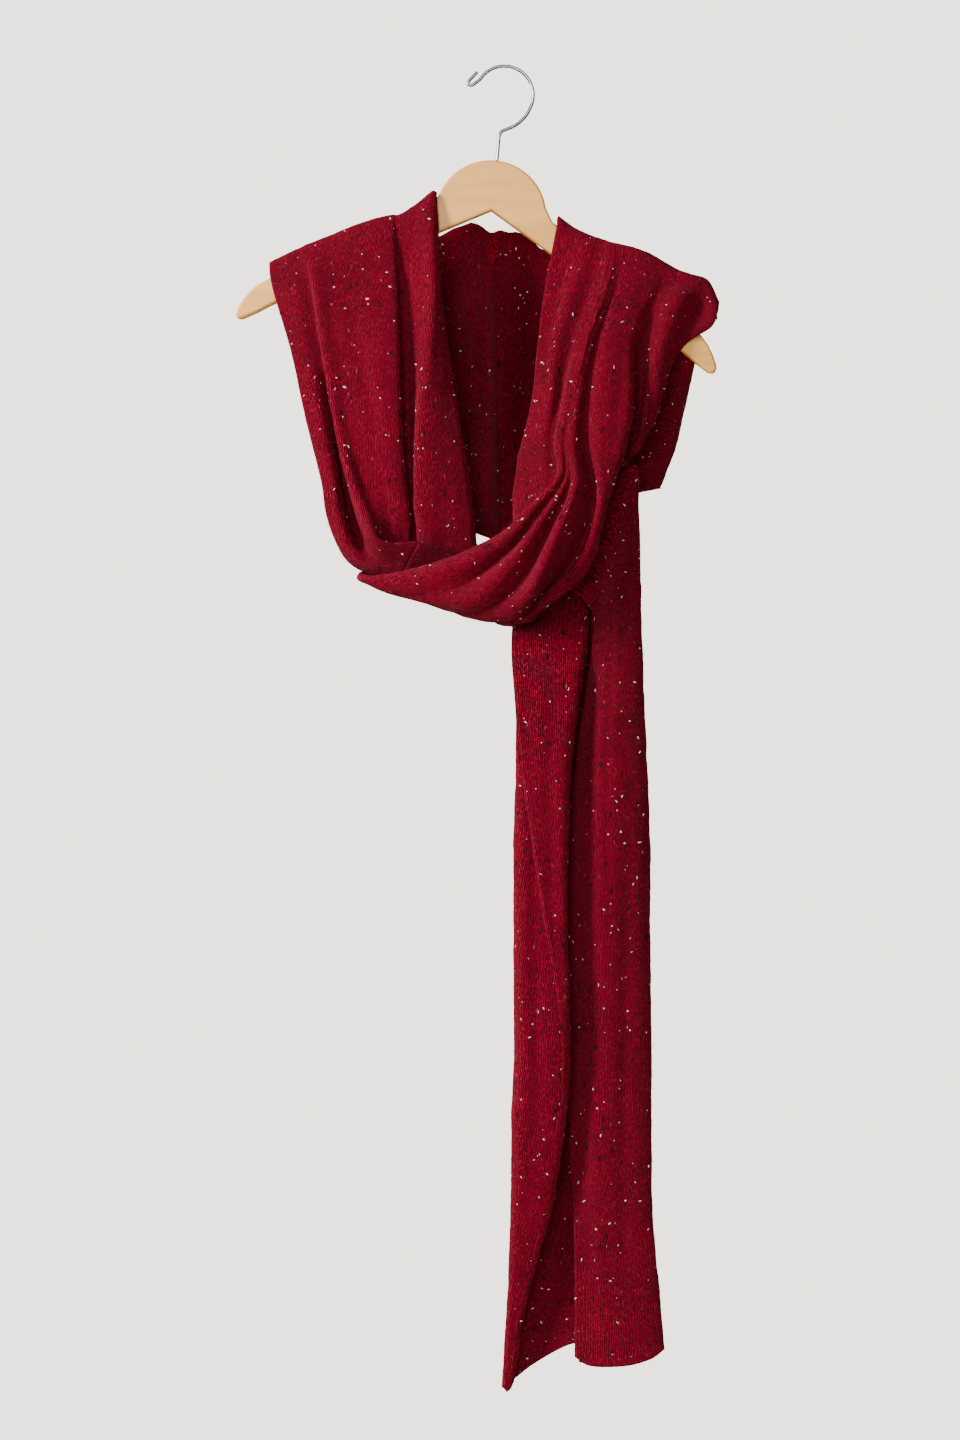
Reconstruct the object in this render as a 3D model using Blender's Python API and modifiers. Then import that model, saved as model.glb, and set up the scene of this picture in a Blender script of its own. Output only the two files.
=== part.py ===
"""Hooded scarf in wool knit, wound once on itself and hung on a wooden hanger.

Lengths in the tables are millimetres. A place is given as across (to the viewer's
right), drop (down from the inner top of the hook) and out (towards the viewer), so
that X = across, Y = -out and Z = -drop. The cloth is one long strip: its middle is
the hood, and its two ends come over the arms of the hanger as the left and the right
strand. Each strand is a row of sections, and each section is a curve across the strip.
"""
import math
from collections import namedtuple

import bmesh
import bpy
from mathutils import Vector

MM = 0.001
OBJECT_NAME = "hooded_scarf_on_hanger"

# ---- driving sizes, mm
CLOTH_WALL = 2.0
CUT_GAP = 1.0                # clear distance between two lengths of the same strip
BACK_OUT = -7.35             # plane of the cloth that has just passed over the hanger
BACK_BELOW_TOP = 40.0        # how far down the back a strand reaches before the hood
BACK_RISE = 0.6              # share of that by which its outer edge ends higher
BROW = 10.0                  # drop from the top line to where the cloth turns down
BROW_OUT = 10.5
LEVEL_BELOW_TOP = 24.0
TURN_FULLNESS = 0.86         # how soon a layer comes flat after a turn
HOOD_GAP = 2.5               # between a strand's end behind the hanger and the hood

# hanger, in its own frame: across and drop from the top of its dome
TILT = math.radians(6.6)     # the right end hangs lower
DOME_TOP = (-9.2, 86.0)      # across and drop of the dome's top
HANGER_HALF = 222.5
HANGER_WOOD = 12.0
WOOD_ROUND = 2.5
DOME_RADIUS = 51.5
NOTCH_DROP = 46.0            # apex of the notch under the dome
TIP_DROP = 171.0
UNDER_SLOPE = 0.56           # fall of the lower edge for each unit across
NECK_HALF = 57.0             # where the dome runs into the arm
NECK_DROP = 50.0
SHOULDER_HALF = 196.0        # where the arm's upper edge starts to turn into the tip
SHOULDER_DROP = 132.0

# hook, in the scarf's frame
HOOK_WIRE = 3.2
HOOK_RADIUS = 26.6           # to the middle of the wire
HOOK_CENTRE = (-2.3, 25.0)
HOOK_START = -147.0          # degrees round from the right, clockwise as seen
HOOK_END = 22.0

# swing of the right strand round the middle of the knot
SWING_CENTRE = (-71.0, 306.0)
SWING_ANGLES = (31.0, 48.0, 62.5)

FRONT_DROPS = (207.0, 257.0, 307.0, 349.0)            # levels of the right strand
LEFT_DROPS = (202.0, 262.0, 326.0, 381.0, 417.0)      # levels of the left strand

# silhouette over the arms: across, drop
RIGHT_TOP_LINE = ((47, 137), (60, 146), (74, 157), (79, 155), (96, 162), (123, 167),
                  (144, 179), (163, 191), (178, 191), (189, 200), (194, 215))
LEFT_TOP_LINE = ((-218, 180), (-204, 173), (-183, 163), (-145, 148), (-119, 139),
                 (-106, 136), (-100, 136), (-89, 130), (-80, 124), (-72, 117),
                 (-68, 114), (-65, 115))

# One row for each fold line of the right strand, from its inner edge to its outer one.
# over: across at the top of the hanger. shoulder to waist: (across, out) at the levels
# FRONT_DROPS. high, mid, low: (radius, out) at SWING_ANGLES. run: (angle, radius, out).
# turn: (across, drop, out) where the line rolls under the knot. back: the same, behind it.
RightFold = namedtuple("RightFold", "name over shoulder chest breast waist high mid low run turn back")
RIGHT_FOLDS = (
    RightFold("inner_edge", 47, (34, 9), (28, 9), (23, 10), (13, 12),
              (96, 12), (115, 12), (156, 19), (88, 167, 22), (-135, 465, 6), (-125, 462, -3)),
    RightFold("inner_slope", 62, (50, 10), (36, 11), (31, 16), (22, 20),
              (108, 19), (123, 18), (152, 21), (88, 163, 24), (-136, 466.5, 6), (-126, 463, -3)),
    RightFold("roll_left", 78, (58, 16), (42, 17), (38, 22), (31, 25),
              (121, 25), (133, 22), (147, 24), (88, 158, 26), (-137, 468, 6), (-126, 464.5, -3)),
    RightFold("roll_tuck", 87, (75, 13), (57, 15), (47, 20), (40, 26),
              (132, 29), (140, 27), (142, 29), (88, 154, 29), (-137, 470, 6), (-126, 466, -3)),
    RightFold("sweep_top", 92, (83, 17), (65, 21), (53, 27), (45, 32),
              (136, 35), (136, 38), (141, 37), (88, 152, 34), (-136, 471.5, 7), (-122, 468, -2)),
    RightFold("band_crest", 95, (86, 19), (68, 24), (56, 30), (48, 35),
              (139, 38), (141, 42), (149, 43), (88, 164, 40), (-128, 475, 7), (-114, 472, -2)),
    RightFold("band_valley", 97, (88, 19), (70, 25), (58, 31), (50, 36),
              (142, 38), (145, 39), (157, 36), (84, 177, 33), (-110, 483, 7), (-98, 479, -2)),
    RightFold("mid_crest", 99, (90, 20), (72, 26), (60, 32), (52, 37),
              (145, 40), (152, 45), (166, 48), (79, 190, 41), (-75, 492, 8), (-66, 487, -2)),
    RightFold("mid_valley", 101, (92, 19), (74, 25), (62, 32), (55, 38),
              (149, 40), (162, 39), (185, 39), (75, 201, 33), (-49, 501, 8), (-42, 495, -2)),
    RightFold("main_crest", 104, (95, 18), (77, 24), (65, 31), (59, 37),
              (155, 41), (172, 49), (201, 49), (69, 213, 39), (-25, 508, 9), (-20, 502, -2)),
    RightFold("deep_valley", 108, (99, 17), (81, 21), (71, 27), (69, 30),
              (173, 29), (196, 26), (211, 28), (67, 218, 27), (-14, 510, 9), (-12, 505, -1)),
    RightFold("right_crest", 113, (103, 18), (86, 24), (81, 31), (80, 35),
              (181, 38), (204, 35), (215, 30), (66, 221, 22), (-6, 512, 8), (-8, 507, 1)),
    RightFold("panel", 128, (117, 18), (100, 24), (97, 31), (95, 36),
              (186, 38), (210, 34), (218, 26), (66, 222, 17), (-1, 513, 7), (-4, 510, 3)),
    RightFold("panel_fold", 145, (131, 16), (113, 21), (113, 27), (107, 32),
              (190, 34), (215, 28), (219, 20), (65, 222, 12), (4, 513, 5), (-1, 511, 1)),
    RightFold("under_fold", 156, (139, 14), (121, 10), (119, 11), (112, 14),
              (186, 24), (211, 18), (215, 13), (66, 219, 7), (5, 509, 2), (0, 508, 0)),
    RightFold("outer_band", 169, (158, 18), (141, 18), (130, 17), (118, 17),
              (181, 16), (206, 14), (210, 9), (66, 214, 3), (4, 505, 0), (-1, 505, -1.5)),
    RightFold("outer_fold", 183, (175, 8), (154, 11), (144, 13), (125, 13),
              (177, 13), (202, 11), (206, 6), (67, 210, 0), (2, 502, -2), (-3, 502, -2.5)),
    RightFold("outer_edge", 194, (188, 12), (162, 7), (139, 9), (120, 10),
              (171, 11), (197, 9), (202, 3), (68, 206, -1), (0, 499, -3), (-5, 499, -3.5)),
)

# One row for each fold line of the left strand, from its outer edge to its inner one.
# over: across at the top of the hanger. shoulder to bend: (across, out) at LEFT_DROPS.
# turn, under: (across, drop, out) as the strand runs in behind the right one.
LeftFold = namedtuple("LeftFold", "name over shoulder chest breast waist bend turn under")
LEFT_FOLDS = (
    LeftFold("outer_edge", -218, (-215, 9), (-198, 10), (-184, 11), (-170, 12),
             (-164, 12), (-145, 455, 4.5), (-106, 474, 6)),
    LeftFold("outer_band", -201, (-195, 12), (-183, 13), (-170, 15), (-158, 16),
             (-152, 17), (-136, 454.5, 10), (-100, 471, 9)),
    LeftFold("hollow", -188, (-180, 12), (-170, 10), (-159, 7), (-149.5, 0),
             (-142, 0), (-125, 450, 12), (-93, 460, 14)),
    LeftFold("left_fold", -183, (-176, 17), (-168, 18), (-157, 20), (-143, 23),
             (-129, 25), (-117, 437, 26), (-80, 438, 22)),
    LeftFold("panel_left", -167, (-164, 15), (-155, 17), (-145, 19), (-132, 20),
             (-120, 21), (-110, 441, 19), (-74, 445, 17)),
    LeftFold("panel_mid", -143, (-139, 15), (-133, 18), (-125, 21), (-118, 21),
             (-109, 19), (-103, 447, 15), (-69, 452, 13)),
    LeftFold("panel_right", -119, (-116, 16), (-113, 19), (-110, 22), (-105, 22),
             (-100, 19), (-95, 451, 12), (-62, 458, 10)),
    LeftFold("panel_fold", -106, (-101, 14), (-99, 16), (-97, 18), (-93, 18),
             (-89, 16), (-86, 454, 9), (-55, 463, 7)),
    LeftFold("tuck", -102, (-105, 9), (-104, 7), (-102, 7), (-98, 7),
             (-93, 8), (-84, 456, 4), (-50, 465, 0)),
    LeftFold("gap", -98, (-95, 7), (-93, 4), (-90, 4), (-88, 6),
             (-87, 7), (-80, 455, 3), (-46, 463, 0)),
    LeftFold("inner_panel", -84, (-81, 12), (-83, 10), (-85, 9), (-86, 11),
             (-84, 12), (-76, 452, 5), (-42, 459, 1)),
    LeftFold("inner_ridge", -72, (-68, 18), (-72, 19), (-79, 19), (-82, 19),
             (-80, 18), (-71, 449, 8), (-37, 454, 2)),
    LeftFold("facet", -68, (-62, 14), (-61, 15), (-60, 17), (-58, 18),
             (-56, 17), (-50, 446, 9), (-26, 447, 3)),
    LeftFold("inner_edge", -65, (-60, 9), (-53, 9), (-43, 10), (-34, 11),
             (-29, 10), (-26, 441, 7), (-12, 438, 3)),
)

# Where a strand lies folded on itself, one row gives which of its lines turn, where each
# turn is (across, drop), and how far out each layer lies at its start and its end.
Layers = namedtuple("Layers", "lines turns outs")
# left strand behind the right one: outer edge, crest, turn behind it, inner edge
LEFT_PASS = (
    Layers((0, 8, 17, 26), ((-30, 474), (-26, 452), (-12, 464), (6, 424)),
           ((5, 12), (7, 1.5), (-2.5, -2.5))),
    Layers((0, 8, 17, 26), ((38, 472), (50, 430), (54, 458), (74, 396)),
           ((3, 5.5), (1, 0), (-4.5, -4.5))),
    Layers((0, 8, 17, 26), ((70, 490), (117, 366), (78, 478), (110, 374)),
           ((3, 5.5), (0, 0), (-5, -5))),
)
# right strand behind the left one, already folded in Z as its tail is: (across, drop) of
# its lower and of its upper side, out of its front layer, and the step back to the next
RIGHT_WRAP = (
    ((-108, 477), (-119, 458), -4.4, 3.2),
    ((-62, 491), (-68, 447), -7.5, 3.8),
    ((-10, 497), (-8, 443), -8.5, 4.0),
    ((4, 498), (40, 456), -8.5, 4.0),
    ((5, 500), (70, 476), -8.5, 4.0),
)
WRAP_SHARES = (0.6, 0.92, 0.0, 1.0, 0.0)     # where its turns lie, from the lower side

# tail of the right strand, in front: a strip folded in Z behind its own left edge.
# one row for each level; edge, right, left, far, end: across of its turns, edge first
FRONT_TAIL_LINES = (0, 2, 12, 22, 34)
FrontTail = namedtuple("FrontTail", "drop edge right left far end out_front out_mid out_back")
FRONT_TAIL = (
    FrontTail(508, 5, 76, 8, 86, 48, -7.5, -11.5, -15.5),
    FrontTail(538, 4, 73, 7, 87, 46, 6, 1, -13),
    FrontTail(582, 7, 66, 9, 87, 46, 14, 8, -11),
    FrontTail(637, 11, 59, 9, 88, 47, 18, 11, -10),
    FrontTail(703, 21, 56, 7, 89, 48, 20, 13, -10),
    FrontTail(769, 31, 54.5, 7, 95, 50, 21, 15, -10),
    FrontTail(859, 46, 54.5, 7, 108, 62, 21, 16.2, -10),
    FrontTail(911, 49.5, 54.5, 7, 112, 67, 19.5, 15.2, -9),
    FrontTail(966, 46.5, 51.5, 5, 115, 69, 18.3, 14, -8),
    FrontTail(1056, 32.5, 37.5, 4, 118, 72, 16, 11.7, -7),
    FrontTail(1134, 12, 17, 1, 120, 74, 11, 6.7, -6),
    FrontTail(1200, 1.5, 6, -4, 120, 75, 5.5, 1.5, -5),
)
# hem of the front tail: across, drop
FRONT_HEM = ((-3, 1214), (0, 1218), (6, 1208), (14, 1201), (30, 1190), (48, 1180),
             (62, 1174), (120, 1168))

# tail of the left strand, behind and to the right: the level at its right and at its
# left, its two sides, where the layers under its front turn, how far its left side falls
# back into the gap beside the front tail, and how far all of it bends back on the right
BackTail = namedtuple("BackTail", "drop_right drop_left right left under fall bend out_front")
BACK_TAIL_LINES = (0, 8, 17, 26)
BACK_TAIL = (
    BackTail(408, 504, 120, 79, 86, 4, 0, 6),
    BackTail(466, 526, 122, 79, 88, 7, 3, 8),
    BackTail(545, 565, 124, 74, 89, 11, 6, 10),
    BackTail(637, 637, 128, 62, 87, 16, 9, 12),
    BackTail(717, 717, 131, 57, 84, 16, 10, 13),
    BackTail(794, 794, 131, 56, 81, 16, 10, 13),
    BackTail(902, 902, 132, 56, 78, 15, 9, 13),
    BackTail(966, 966, 132, 56, 76, 12, 7, 13),
    BackTail(1056, 1056, 133, 61, 72, 6, 5, 13),
    BackTail(1111, 1111, 138, 62, 69, 4, 4, 12),
    BackTail(1180, 1180, 144, 62, 67, 3.5, 4, 11),
)
BACK_HEM = ((62, 1184), (67, 1190), (84, 1193), (110, 1192), (131, 1187), (144, 1178))
RETURN_STEP = 4.5            # from the front tail's back layer to its short return
BACK_LAYER = 5.2             # step back from one layer of the folded tail to the next
FALL_SHARES = (1.0, 0.8, 0.42, 0.12, 0.0)    # of that fall, at the first lines from its left
BEND_START = 84.0            # where across its bend begins

# One row for each line down the hood, from its left face edge round the back to its
# right face edge: (across, drop, out) at the top, two levels between, and the crown.
HoodLine = namedtuple("HoodLine", "name steps top chest low crown")
HOOD_LINES = (
    HoodLine("left_face", 3, (-64, 164, -8.6), (-66, 240, -13), (-62, 330, -15), (-9, 433, -24)),
    HoodLine("left_near", 3, (-130, 190, -8.6), (-125, 250, -14), (-112, 330, -18), (-60, 416, -25)),
    HoodLine("left_turn", 2, (-200, 219, -9), (-186, 262, -15), (-163, 335, -19), (-120, 397, -26)),
    HoodLine("left_side", 1, (-210, 222, -17), (-192, 264, -27), (-170, 338, -28), (-160, 384, -27)),
    HoodLine("left_outer", 2, (-203, 217, -27), (-182, 256, -39), (-160, 333, -40), (-142, 390, -27)),
    HoodLine("left_far", 2, (-130, 184, -33), (-120, 240, -47), (-108, 326, -47), (-98, 404, -26)),
    HoodLine("left_valley", 1, (-60, 147, -34), (-52, 215, -45), (-44, 310, -46), (-52, 419, -25)),
    HoodLine("left_bump", 2, (-33, 137, -30), (-35, 205, -38), (-28, 305, -37), (-34, 424, -25)),
    HoodLine("seam", 2, (-12, 146, -27), (-12, 200, -27), (-11, 303, -25), (-9, 433, -24)),
    HoodLine("right_bump", 1, (8, 145, -29), (8, 205, -35), (6, 305, -35), (14, 425, -25)),
    HoodLine("right_valley", 2, (22, 152, -33), (24, 215, -44), (20, 312, -46), (30, 418, -25)),
    HoodLine("right_far", 2, (100, 205, -33), (92, 262, -46), (84, 330, -46), (80, 401, -26)),
    HoodLine("right_outer", 1, (168, 243, -27), (164, 285, -37), (150, 345, -38), (124, 388, -26)),
    HoodLine("right_side", 2, (177, 252, -17), (170, 288, -25), (155, 350, -26), (142, 385, -26)),
    HoodLine("right_turn", 3, (166, 252, -9), (160, 288, -14), (146, 348, -18), (104, 393, -25)),
    HoodLine("right_near", 3, (110, 216, -8.6), (104, 262, -14), (95, 332, -18), (45, 412, -25)),
    HoodLine("right_face", 0, (48, 170, -8.6), (54, 240, -13), (52, 330, -15), (-9, 433, -24)),
)
HOOD_ROWS = (3, 4, 4)

# rows of faces from each section of a strand to the next, and where the strand is cut
# into pieces, counted in sections
RIGHT_ROWS = (1, 1, 1, 1, 1, 2, 2, 2, 2, 2, 2, 2, 2, 2, 2)
TAIL_ROWS = (2, 2, 2, 2, 1,
             2, 2, 1, 1, 1, 1, 1, 1, 2, 2, 2)
TAIL_CUTS = (5.12,)
LEFT_ROWS = (1, 1, 1, 1, 1, 2, 2, 2, 1, 2, 2, 3,
             4, 4, 3, 3,
             2, 2, 1, 1, 1, 1, 1, 1, 1, 2)
LEFT_CUTS = (13.5, 17.6)
FOLD_STEPS = 2               # faces from one fold line to the next

COLOURS = {                  # base colour, roughness, metallic
    "cloth": ((0.30, 0.005, 0.022), 0.92, 0.0),
    "wood": ((0.72, 0.42, 0.19), 0.5, 0.0),
    "wire": ((0.62, 0.63, 0.65), 0.22, 1.0),
}


# ---- curves and sections

def between(a, b, share):
    """Point, or number, a share of the way from a to b."""
    return a + (b - a) * share


def spline(before, start, end, after, share):
    """Centripetal curve from start to end, shaped by the points on either side."""
    knots = [0.0]
    for a, b in ((before, start), (start, end), (end, after)):
        knots.append(knots[-1] + max((b - a).length, 1e-4) ** 0.5)
    at = between(knots[1], knots[2], share)

    def blend(p, q, low, high):
        return p * ((high - at) / (high - low)) + q * ((at - low) / (high - low))

    a1 = blend(before, start, knots[0], knots[1])
    a2 = blend(start, end, knots[1], knots[2])
    a3 = blend(end, after, knots[2], knots[3])
    b1 = blend(a1, a2, knots[0], knots[2])
    b2 = blend(a2, a3, knots[1], knots[3])
    return blend(b1, b2, knots[1], knots[2])


def along(points, place):
    """Point of the curve through all the points; place 0, 1, 2 ... are the points."""
    last = len(points) - 1
    index = min(int(place), last - 1)
    start, end = points[index], points[index + 1]
    before = points[index - 1] if index > 0 else start * 2 - end
    after = points[index + 2] if index + 2 <= last else end * 2 - start
    return spline(before, start, end, after, place - index)


def height_on(line, across):
    """Drop of a line of (across, drop) points at one place across."""
    low, high = line[0], line[-1]
    if across <= low[0]:
        return low[1]
    for low, high in zip(line, line[1:]):
        if across <= high[0]:
            return between(low[1], high[1], (across - low[0]) / (high[0] - low[0]))
    return high[1]


def swung(angle, radius, out):
    """Point at an angle and radius round the middle of the knot."""
    turn = math.radians(angle)
    return Vector((SWING_CENTRE[0] + radius * math.cos(turn),
                   SWING_CENTRE[1] + radius * math.sin(turn), out))


def places(rows):
    """Places along a run of sections, with the given number of rows in each gap."""
    found = [0.0]
    for index, count in enumerate(rows):
        found += [index + (step + 1) / count for step in range(count)]
    return found


def folded_section(lines, turns, outs):
    """Section of a strip that lies in layers.

    lines: which line of the strip each turn is. turns: (across, drop) of each.
    outs: how far out each layer lies, at its start and at its end."""
    found = []
    for layer, (low, high) in enumerate(outs):
        start, end = Vector(turns[layer]), Vector(turns[layer + 1])
        count = lines[layer + 1] - lines[layer]
        before = between(outs[layer - 1][1], low, 0.5) if layer else low
        after = between(high, outs[layer + 1][0], 0.5) if layer + 1 < len(outs) else high
        for step in range(count):
            place = start.lerp(end, step / count)
            out = between(low, high, step / count)
            if step < 2:
                out = between(before, out, (0.0, TURN_FULLNESS)[step])
            elif step == count - 1:
                out = between(after, out, TURN_FULLNESS)
            found.append(Vector((place.x, place.y, out)))
    found.append(Vector((*turns[-1], outs[-1][1])))
    return found


def over_sections(folds, top_line):
    """The back of a strand, its line over the top of the hanger and its brow."""
    top = [Vector((fold.over, height_on(top_line, fold.over), 0.0)) for fold in folds]
    brow = [Vector((between(fold.over, fold.shoulder[0], 0.12), p.y + BROW,
                    max(BROW_OUT - 1.0, BROW_OUT + 0.3 * (fold.shoulder[1] - 13.0))))
            for fold, p in zip(folds, top)]
    middle = (top[0] + top[-1]) / 2
    reach = max(abs(p.x) for p in top)
    back = [p.y + BACK_BELOW_TOP * (1.0 - BACK_RISE * ((abs(p.x) - abs(middle.x))
            / (reach - abs(middle.x))) ** 3 * (abs(p.x) > abs(middle.x))) for p in top]
    return [[Vector((p.x, drop, BACK_OUT)) for p, drop in zip(top, back)],
            [Vector((p.x, p.y + BROW, BACK_OUT)) for p in top],
            [Vector((p.x, p.y + 0.28 * BROW, BACK_OUT * 0.82)) for p in top],
            top,
            [Vector((between(p.x, q.x, 0.5), p.y + 0.28 * BROW, q.z * 0.75))
             for p, q in zip(top, brow)],
            brow]


def level_sections(folds, fields, drops, top_line):
    """Sections at level drops, from the (across, out) pairs of the named fields.

    None starts closer than LEVEL_BELOW_TOP under the line over the hanger."""
    return [[Vector((getattr(fold, field)[0],
                     max(drop, height_on(top_line, fold.over) + LEVEL_BELOW_TOP),
                     getattr(fold, field)[1]))
             for fold in folds] for field, drop in zip(fields, drops)]


def fine_section(points):
    """The curve through one section's fold lines, FOLD_STEPS faces between two."""
    count = (len(points) - 1) * FOLD_STEPS
    return [along(points, step / FOLD_STEPS) for step in range(count + 1)]


def right_sections():
    """All sections of the right strand, from behind the hanger to under the knot."""
    folds = RIGHT_FOLDS
    rough = over_sections(folds, RIGHT_TOP_LINE)
    rough += level_sections(folds, ("shoulder", "chest", "breast", "waist"), FRONT_DROPS,
                            RIGHT_TOP_LINE)
    for field, angle in zip(("high", "mid", "low"), SWING_ANGLES):
        rough.append([swung(angle, *getattr(fold, field)) for fold in folds])
    rough.append([swung(*fold.run) for fold in folds])
    rough.append([Vector(fold.turn) for fold in folds])
    rough.append([Vector(fold.back) for fold in folds])
    return [fine_section(points) for points in rough]


def tail_sections():
    """All sections of the right strand from behind the knot down to its hem."""
    fine = []
    for low, high, front, step in RIGHT_WRAP:
        turns = [between(Vector(low), Vector(high), share) for share in WRAP_SHARES]
        outs = [front - step * layer for layer in (3, 2, 1, 0)]
        fine.append(folded_section(FRONT_TAIL_LINES, turns, [(out, out) for out in outs]))
    for row in FRONT_TAIL:
        behind = row.out_back - RETURN_STEP
        strip = folded_section(
            FRONT_TAIL_LINES, [(across, row.drop) for across in
                        (row.end, row.far, row.left, row.right, row.edge)],
            [(out, out) for out in (behind, row.out_back, row.out_mid, row.out_front)])
        if row is FRONT_TAIL[-1]:
            strip = [Vector((p.x, height_on(FRONT_HEM, p.x), p.z)) for p in strip]
        fine.append(strip)
    return fine


def left_sections():
    """All sections of the left strand, from behind the hanger down to its hem."""
    folds = LEFT_FOLDS
    rough = over_sections(folds, LEFT_TOP_LINE)
    rough += level_sections(folds, ("shoulder", "chest", "breast", "waist", "bend"),
                            LEFT_DROPS, LEFT_TOP_LINE)
    rough.append([Vector(fold.turn) for fold in folds])
    rough.append([Vector(fold.under) for fold in folds])
    fine = [fine_section(points) for points in rough]
    fine += [folded_section(*row) for row in LEFT_PASS]
    for row in BACK_TAIL:
        outs = [row.out_front - BACK_LAYER * layer for layer in range(3)]
        strip = folded_section(
            BACK_TAIL_LINES,
            ((row.left, row.drop_left), (row.right, row.drop_right),
             (row.under, row.drop_left), (row.right - 5, row.drop_right)),
            [(out, out) for out in outs])
        for step, share in enumerate(FALL_SHARES):
            strip[step].z = outs[0] - row.fall * share
        for p in strip:
            p.z -= row.bend * max((p.x - BEND_START) / (row.right - BEND_START), 0.0) ** 1.6
        if row is BACK_TAIL[-1]:
            strip = [Vector((p.x, height_on(BACK_HEM, p.x), p.z)) for p in strip]
        fine.append(strip)
    return fine


def length_of_strip(sections, stops, start, end):
    """Net of points along part of a strip, a little short of the cuts at its ends."""
    inner = [stop for stop in stops if start + 0.02 < stop < end - 0.02]
    net = [[along([section[i] for section in sections], stop)
            for i in range(len(sections[0]))] for stop in [start] + inner + [end]]
    for edge, beside, cut in ((0, 1, start > stops[0]), (-1, -2, end < stops[-1])):
        if cut:
            net[edge] = [a.lerp(b, min(CUT_GAP / 2 / max((b - a).length, 1e-3), 0.5))
                         for a, b in zip(net[edge], net[beside])]
    return net


# ---- meshes

def to_world(point):
    """Metres in the part's frame from across, drop and out in millimetres."""
    return Vector((point.x, -point.z, -point.y)) * MM


def grid_mesh(name, net):
    """Open surface through a net of points, rows down the strip."""
    down, across = len(net) - 1, len(net[0]) - 1
    mesh = bpy.data.meshes.new(name)
    shape = bmesh.new()
    bmesh.ops.create_grid(shape, x_segments=across, y_segments=down, size=0.5)
    for vert in shape.verts:
        column = round((vert.co.x + 0.5) * across)
        row = round((vert.co.y + 0.5) * down)
        vert.co = to_world(net[row][column])
    bmesh.ops.recalc_face_normals(shape, faces=shape.faces)
    shape.to_mesh(mesh)
    shape.free()
    return mesh


def finish_for(kind):
    """The material of one kind of piece."""
    colour, roughness, metallic = COLOURS[kind]
    material = bpy.data.materials.new(kind)
    material.use_nodes = True
    shader = material.node_tree.nodes["Principled BSDF"]
    shader.inputs["Base Color"].default_value = (*colour, 1.0)
    shader.inputs["Roughness"].default_value = roughness
    shader.inputs["Metallic"].default_value = metallic
    return material


def add_object(name, data, kind, collection):
    """An object in the part's collection with a material of its own."""
    thing = bpy.data.objects.new(name, data)
    thing.data.materials.append(finish_for(kind))
    collection.objects.link(thing)
    return thing


def add_cloth(name, mesh, collection):
    """A surface of cloth, given its wall to both sides."""
    cloth = add_object(name, mesh, "cloth", collection)
    mesh.shade_smooth()
    wall = cloth.modifiers.new("wall", "SOLIDIFY")
    wall.thickness = CLOTH_WALL * MM
    wall.offset = 0.0
    return cloth


def hood_mesh():
    """The hood: face edge, side, back seam, side, face edge, closed at the crown."""
    columns = [0.0]
    for index, line in enumerate(HOOD_LINES[:-1]):
        columns += [index + (step + 1) / line.steps for step in range(line.steps)]
    levels = [[Vector(getattr(line, field)) for line in HOOD_LINES]
              for field in ("top", "chest", "low", "crown")]
    sections = [[along(level, column) for column in columns] for level in levels]
    net = [[along([section[i] for section in sections], stop)
            for i in range(len(columns))] for stop in places(HOOD_ROWS)]
    half = (len(columns) - 1) // 2
    for line, near in ((LEFT_TOP_LINE, range(half // 2)),
                       (RIGHT_TOP_LINE, range(2 * half - half // 2 + 1, 2 * half + 1))):
        for i in near:
            net[0][i].y = height_on(line, net[0][i].x) + BACK_BELOW_TOP + HOOD_GAP
    crown = net[-1]
    for i in range(1, half // 2 + 1):
        for near, far in ((i, half - i), (2 * half - i, half + i)):
            middle = between(crown[near], crown[far], 0.5)
            crown[near] = middle
            crown[far] = middle.copy()
    for end in (0, -1):
        crown[end] = crown[half] + Vector((-4.0 if end == 0 else 4.0, -5.0, 6.0))
    mesh = grid_mesh("hood", net)
    shape = bmesh.new()
    shape.from_mesh(mesh)
    bmesh.ops.remove_doubles(shape, verts=shape.verts, dist=0.0001)
    bmesh.ops.recalc_face_normals(shape, faces=shape.faces)
    shape.to_mesh(mesh)
    shape.free()
    return mesh


def hanger_point(across, drop):
    """A point of the hanger's own frame, tilted about the top of its dome."""
    return (DOME_TOP[0] + across * math.cos(TILT) - drop * math.sin(TILT),
            DOME_TOP[1] + across * math.sin(TILT) + drop * math.cos(TILT))


def hanger_outline():
    """Outline of the hanger, clockwise from the middle of its dome."""
    dome = [(DOME_RADIUS * math.sin(math.radians(a)),
             DOME_RADIUS * (1 - math.cos(math.radians(a)))) for a in range(0, 76, 15)]
    arm = [(NECK_HALF, NECK_DROP), (70.0, 58.5), (SHOULDER_HALF, SHOULDER_DROP)]
    tip = [(210.0, 143.0), (219.0, 156.0), (HANGER_HALF, TIP_DROP - 5),
           (HANGER_HALF - 2.5, TIP_DROP), (215.5, TIP_DROP)]
    under = [(190.0, NOTCH_DROP + UNDER_SLOPE * 190.0 + 2.5), (100.0, NOTCH_DROP + UNDER_SLOPE * 100.0)]
    half = dome + arm + tip + under
    other = [(-x, drop) for x, drop in reversed(half) if x > 0.01]
    return half + [(0.0, NOTCH_DROP)] + other


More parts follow.
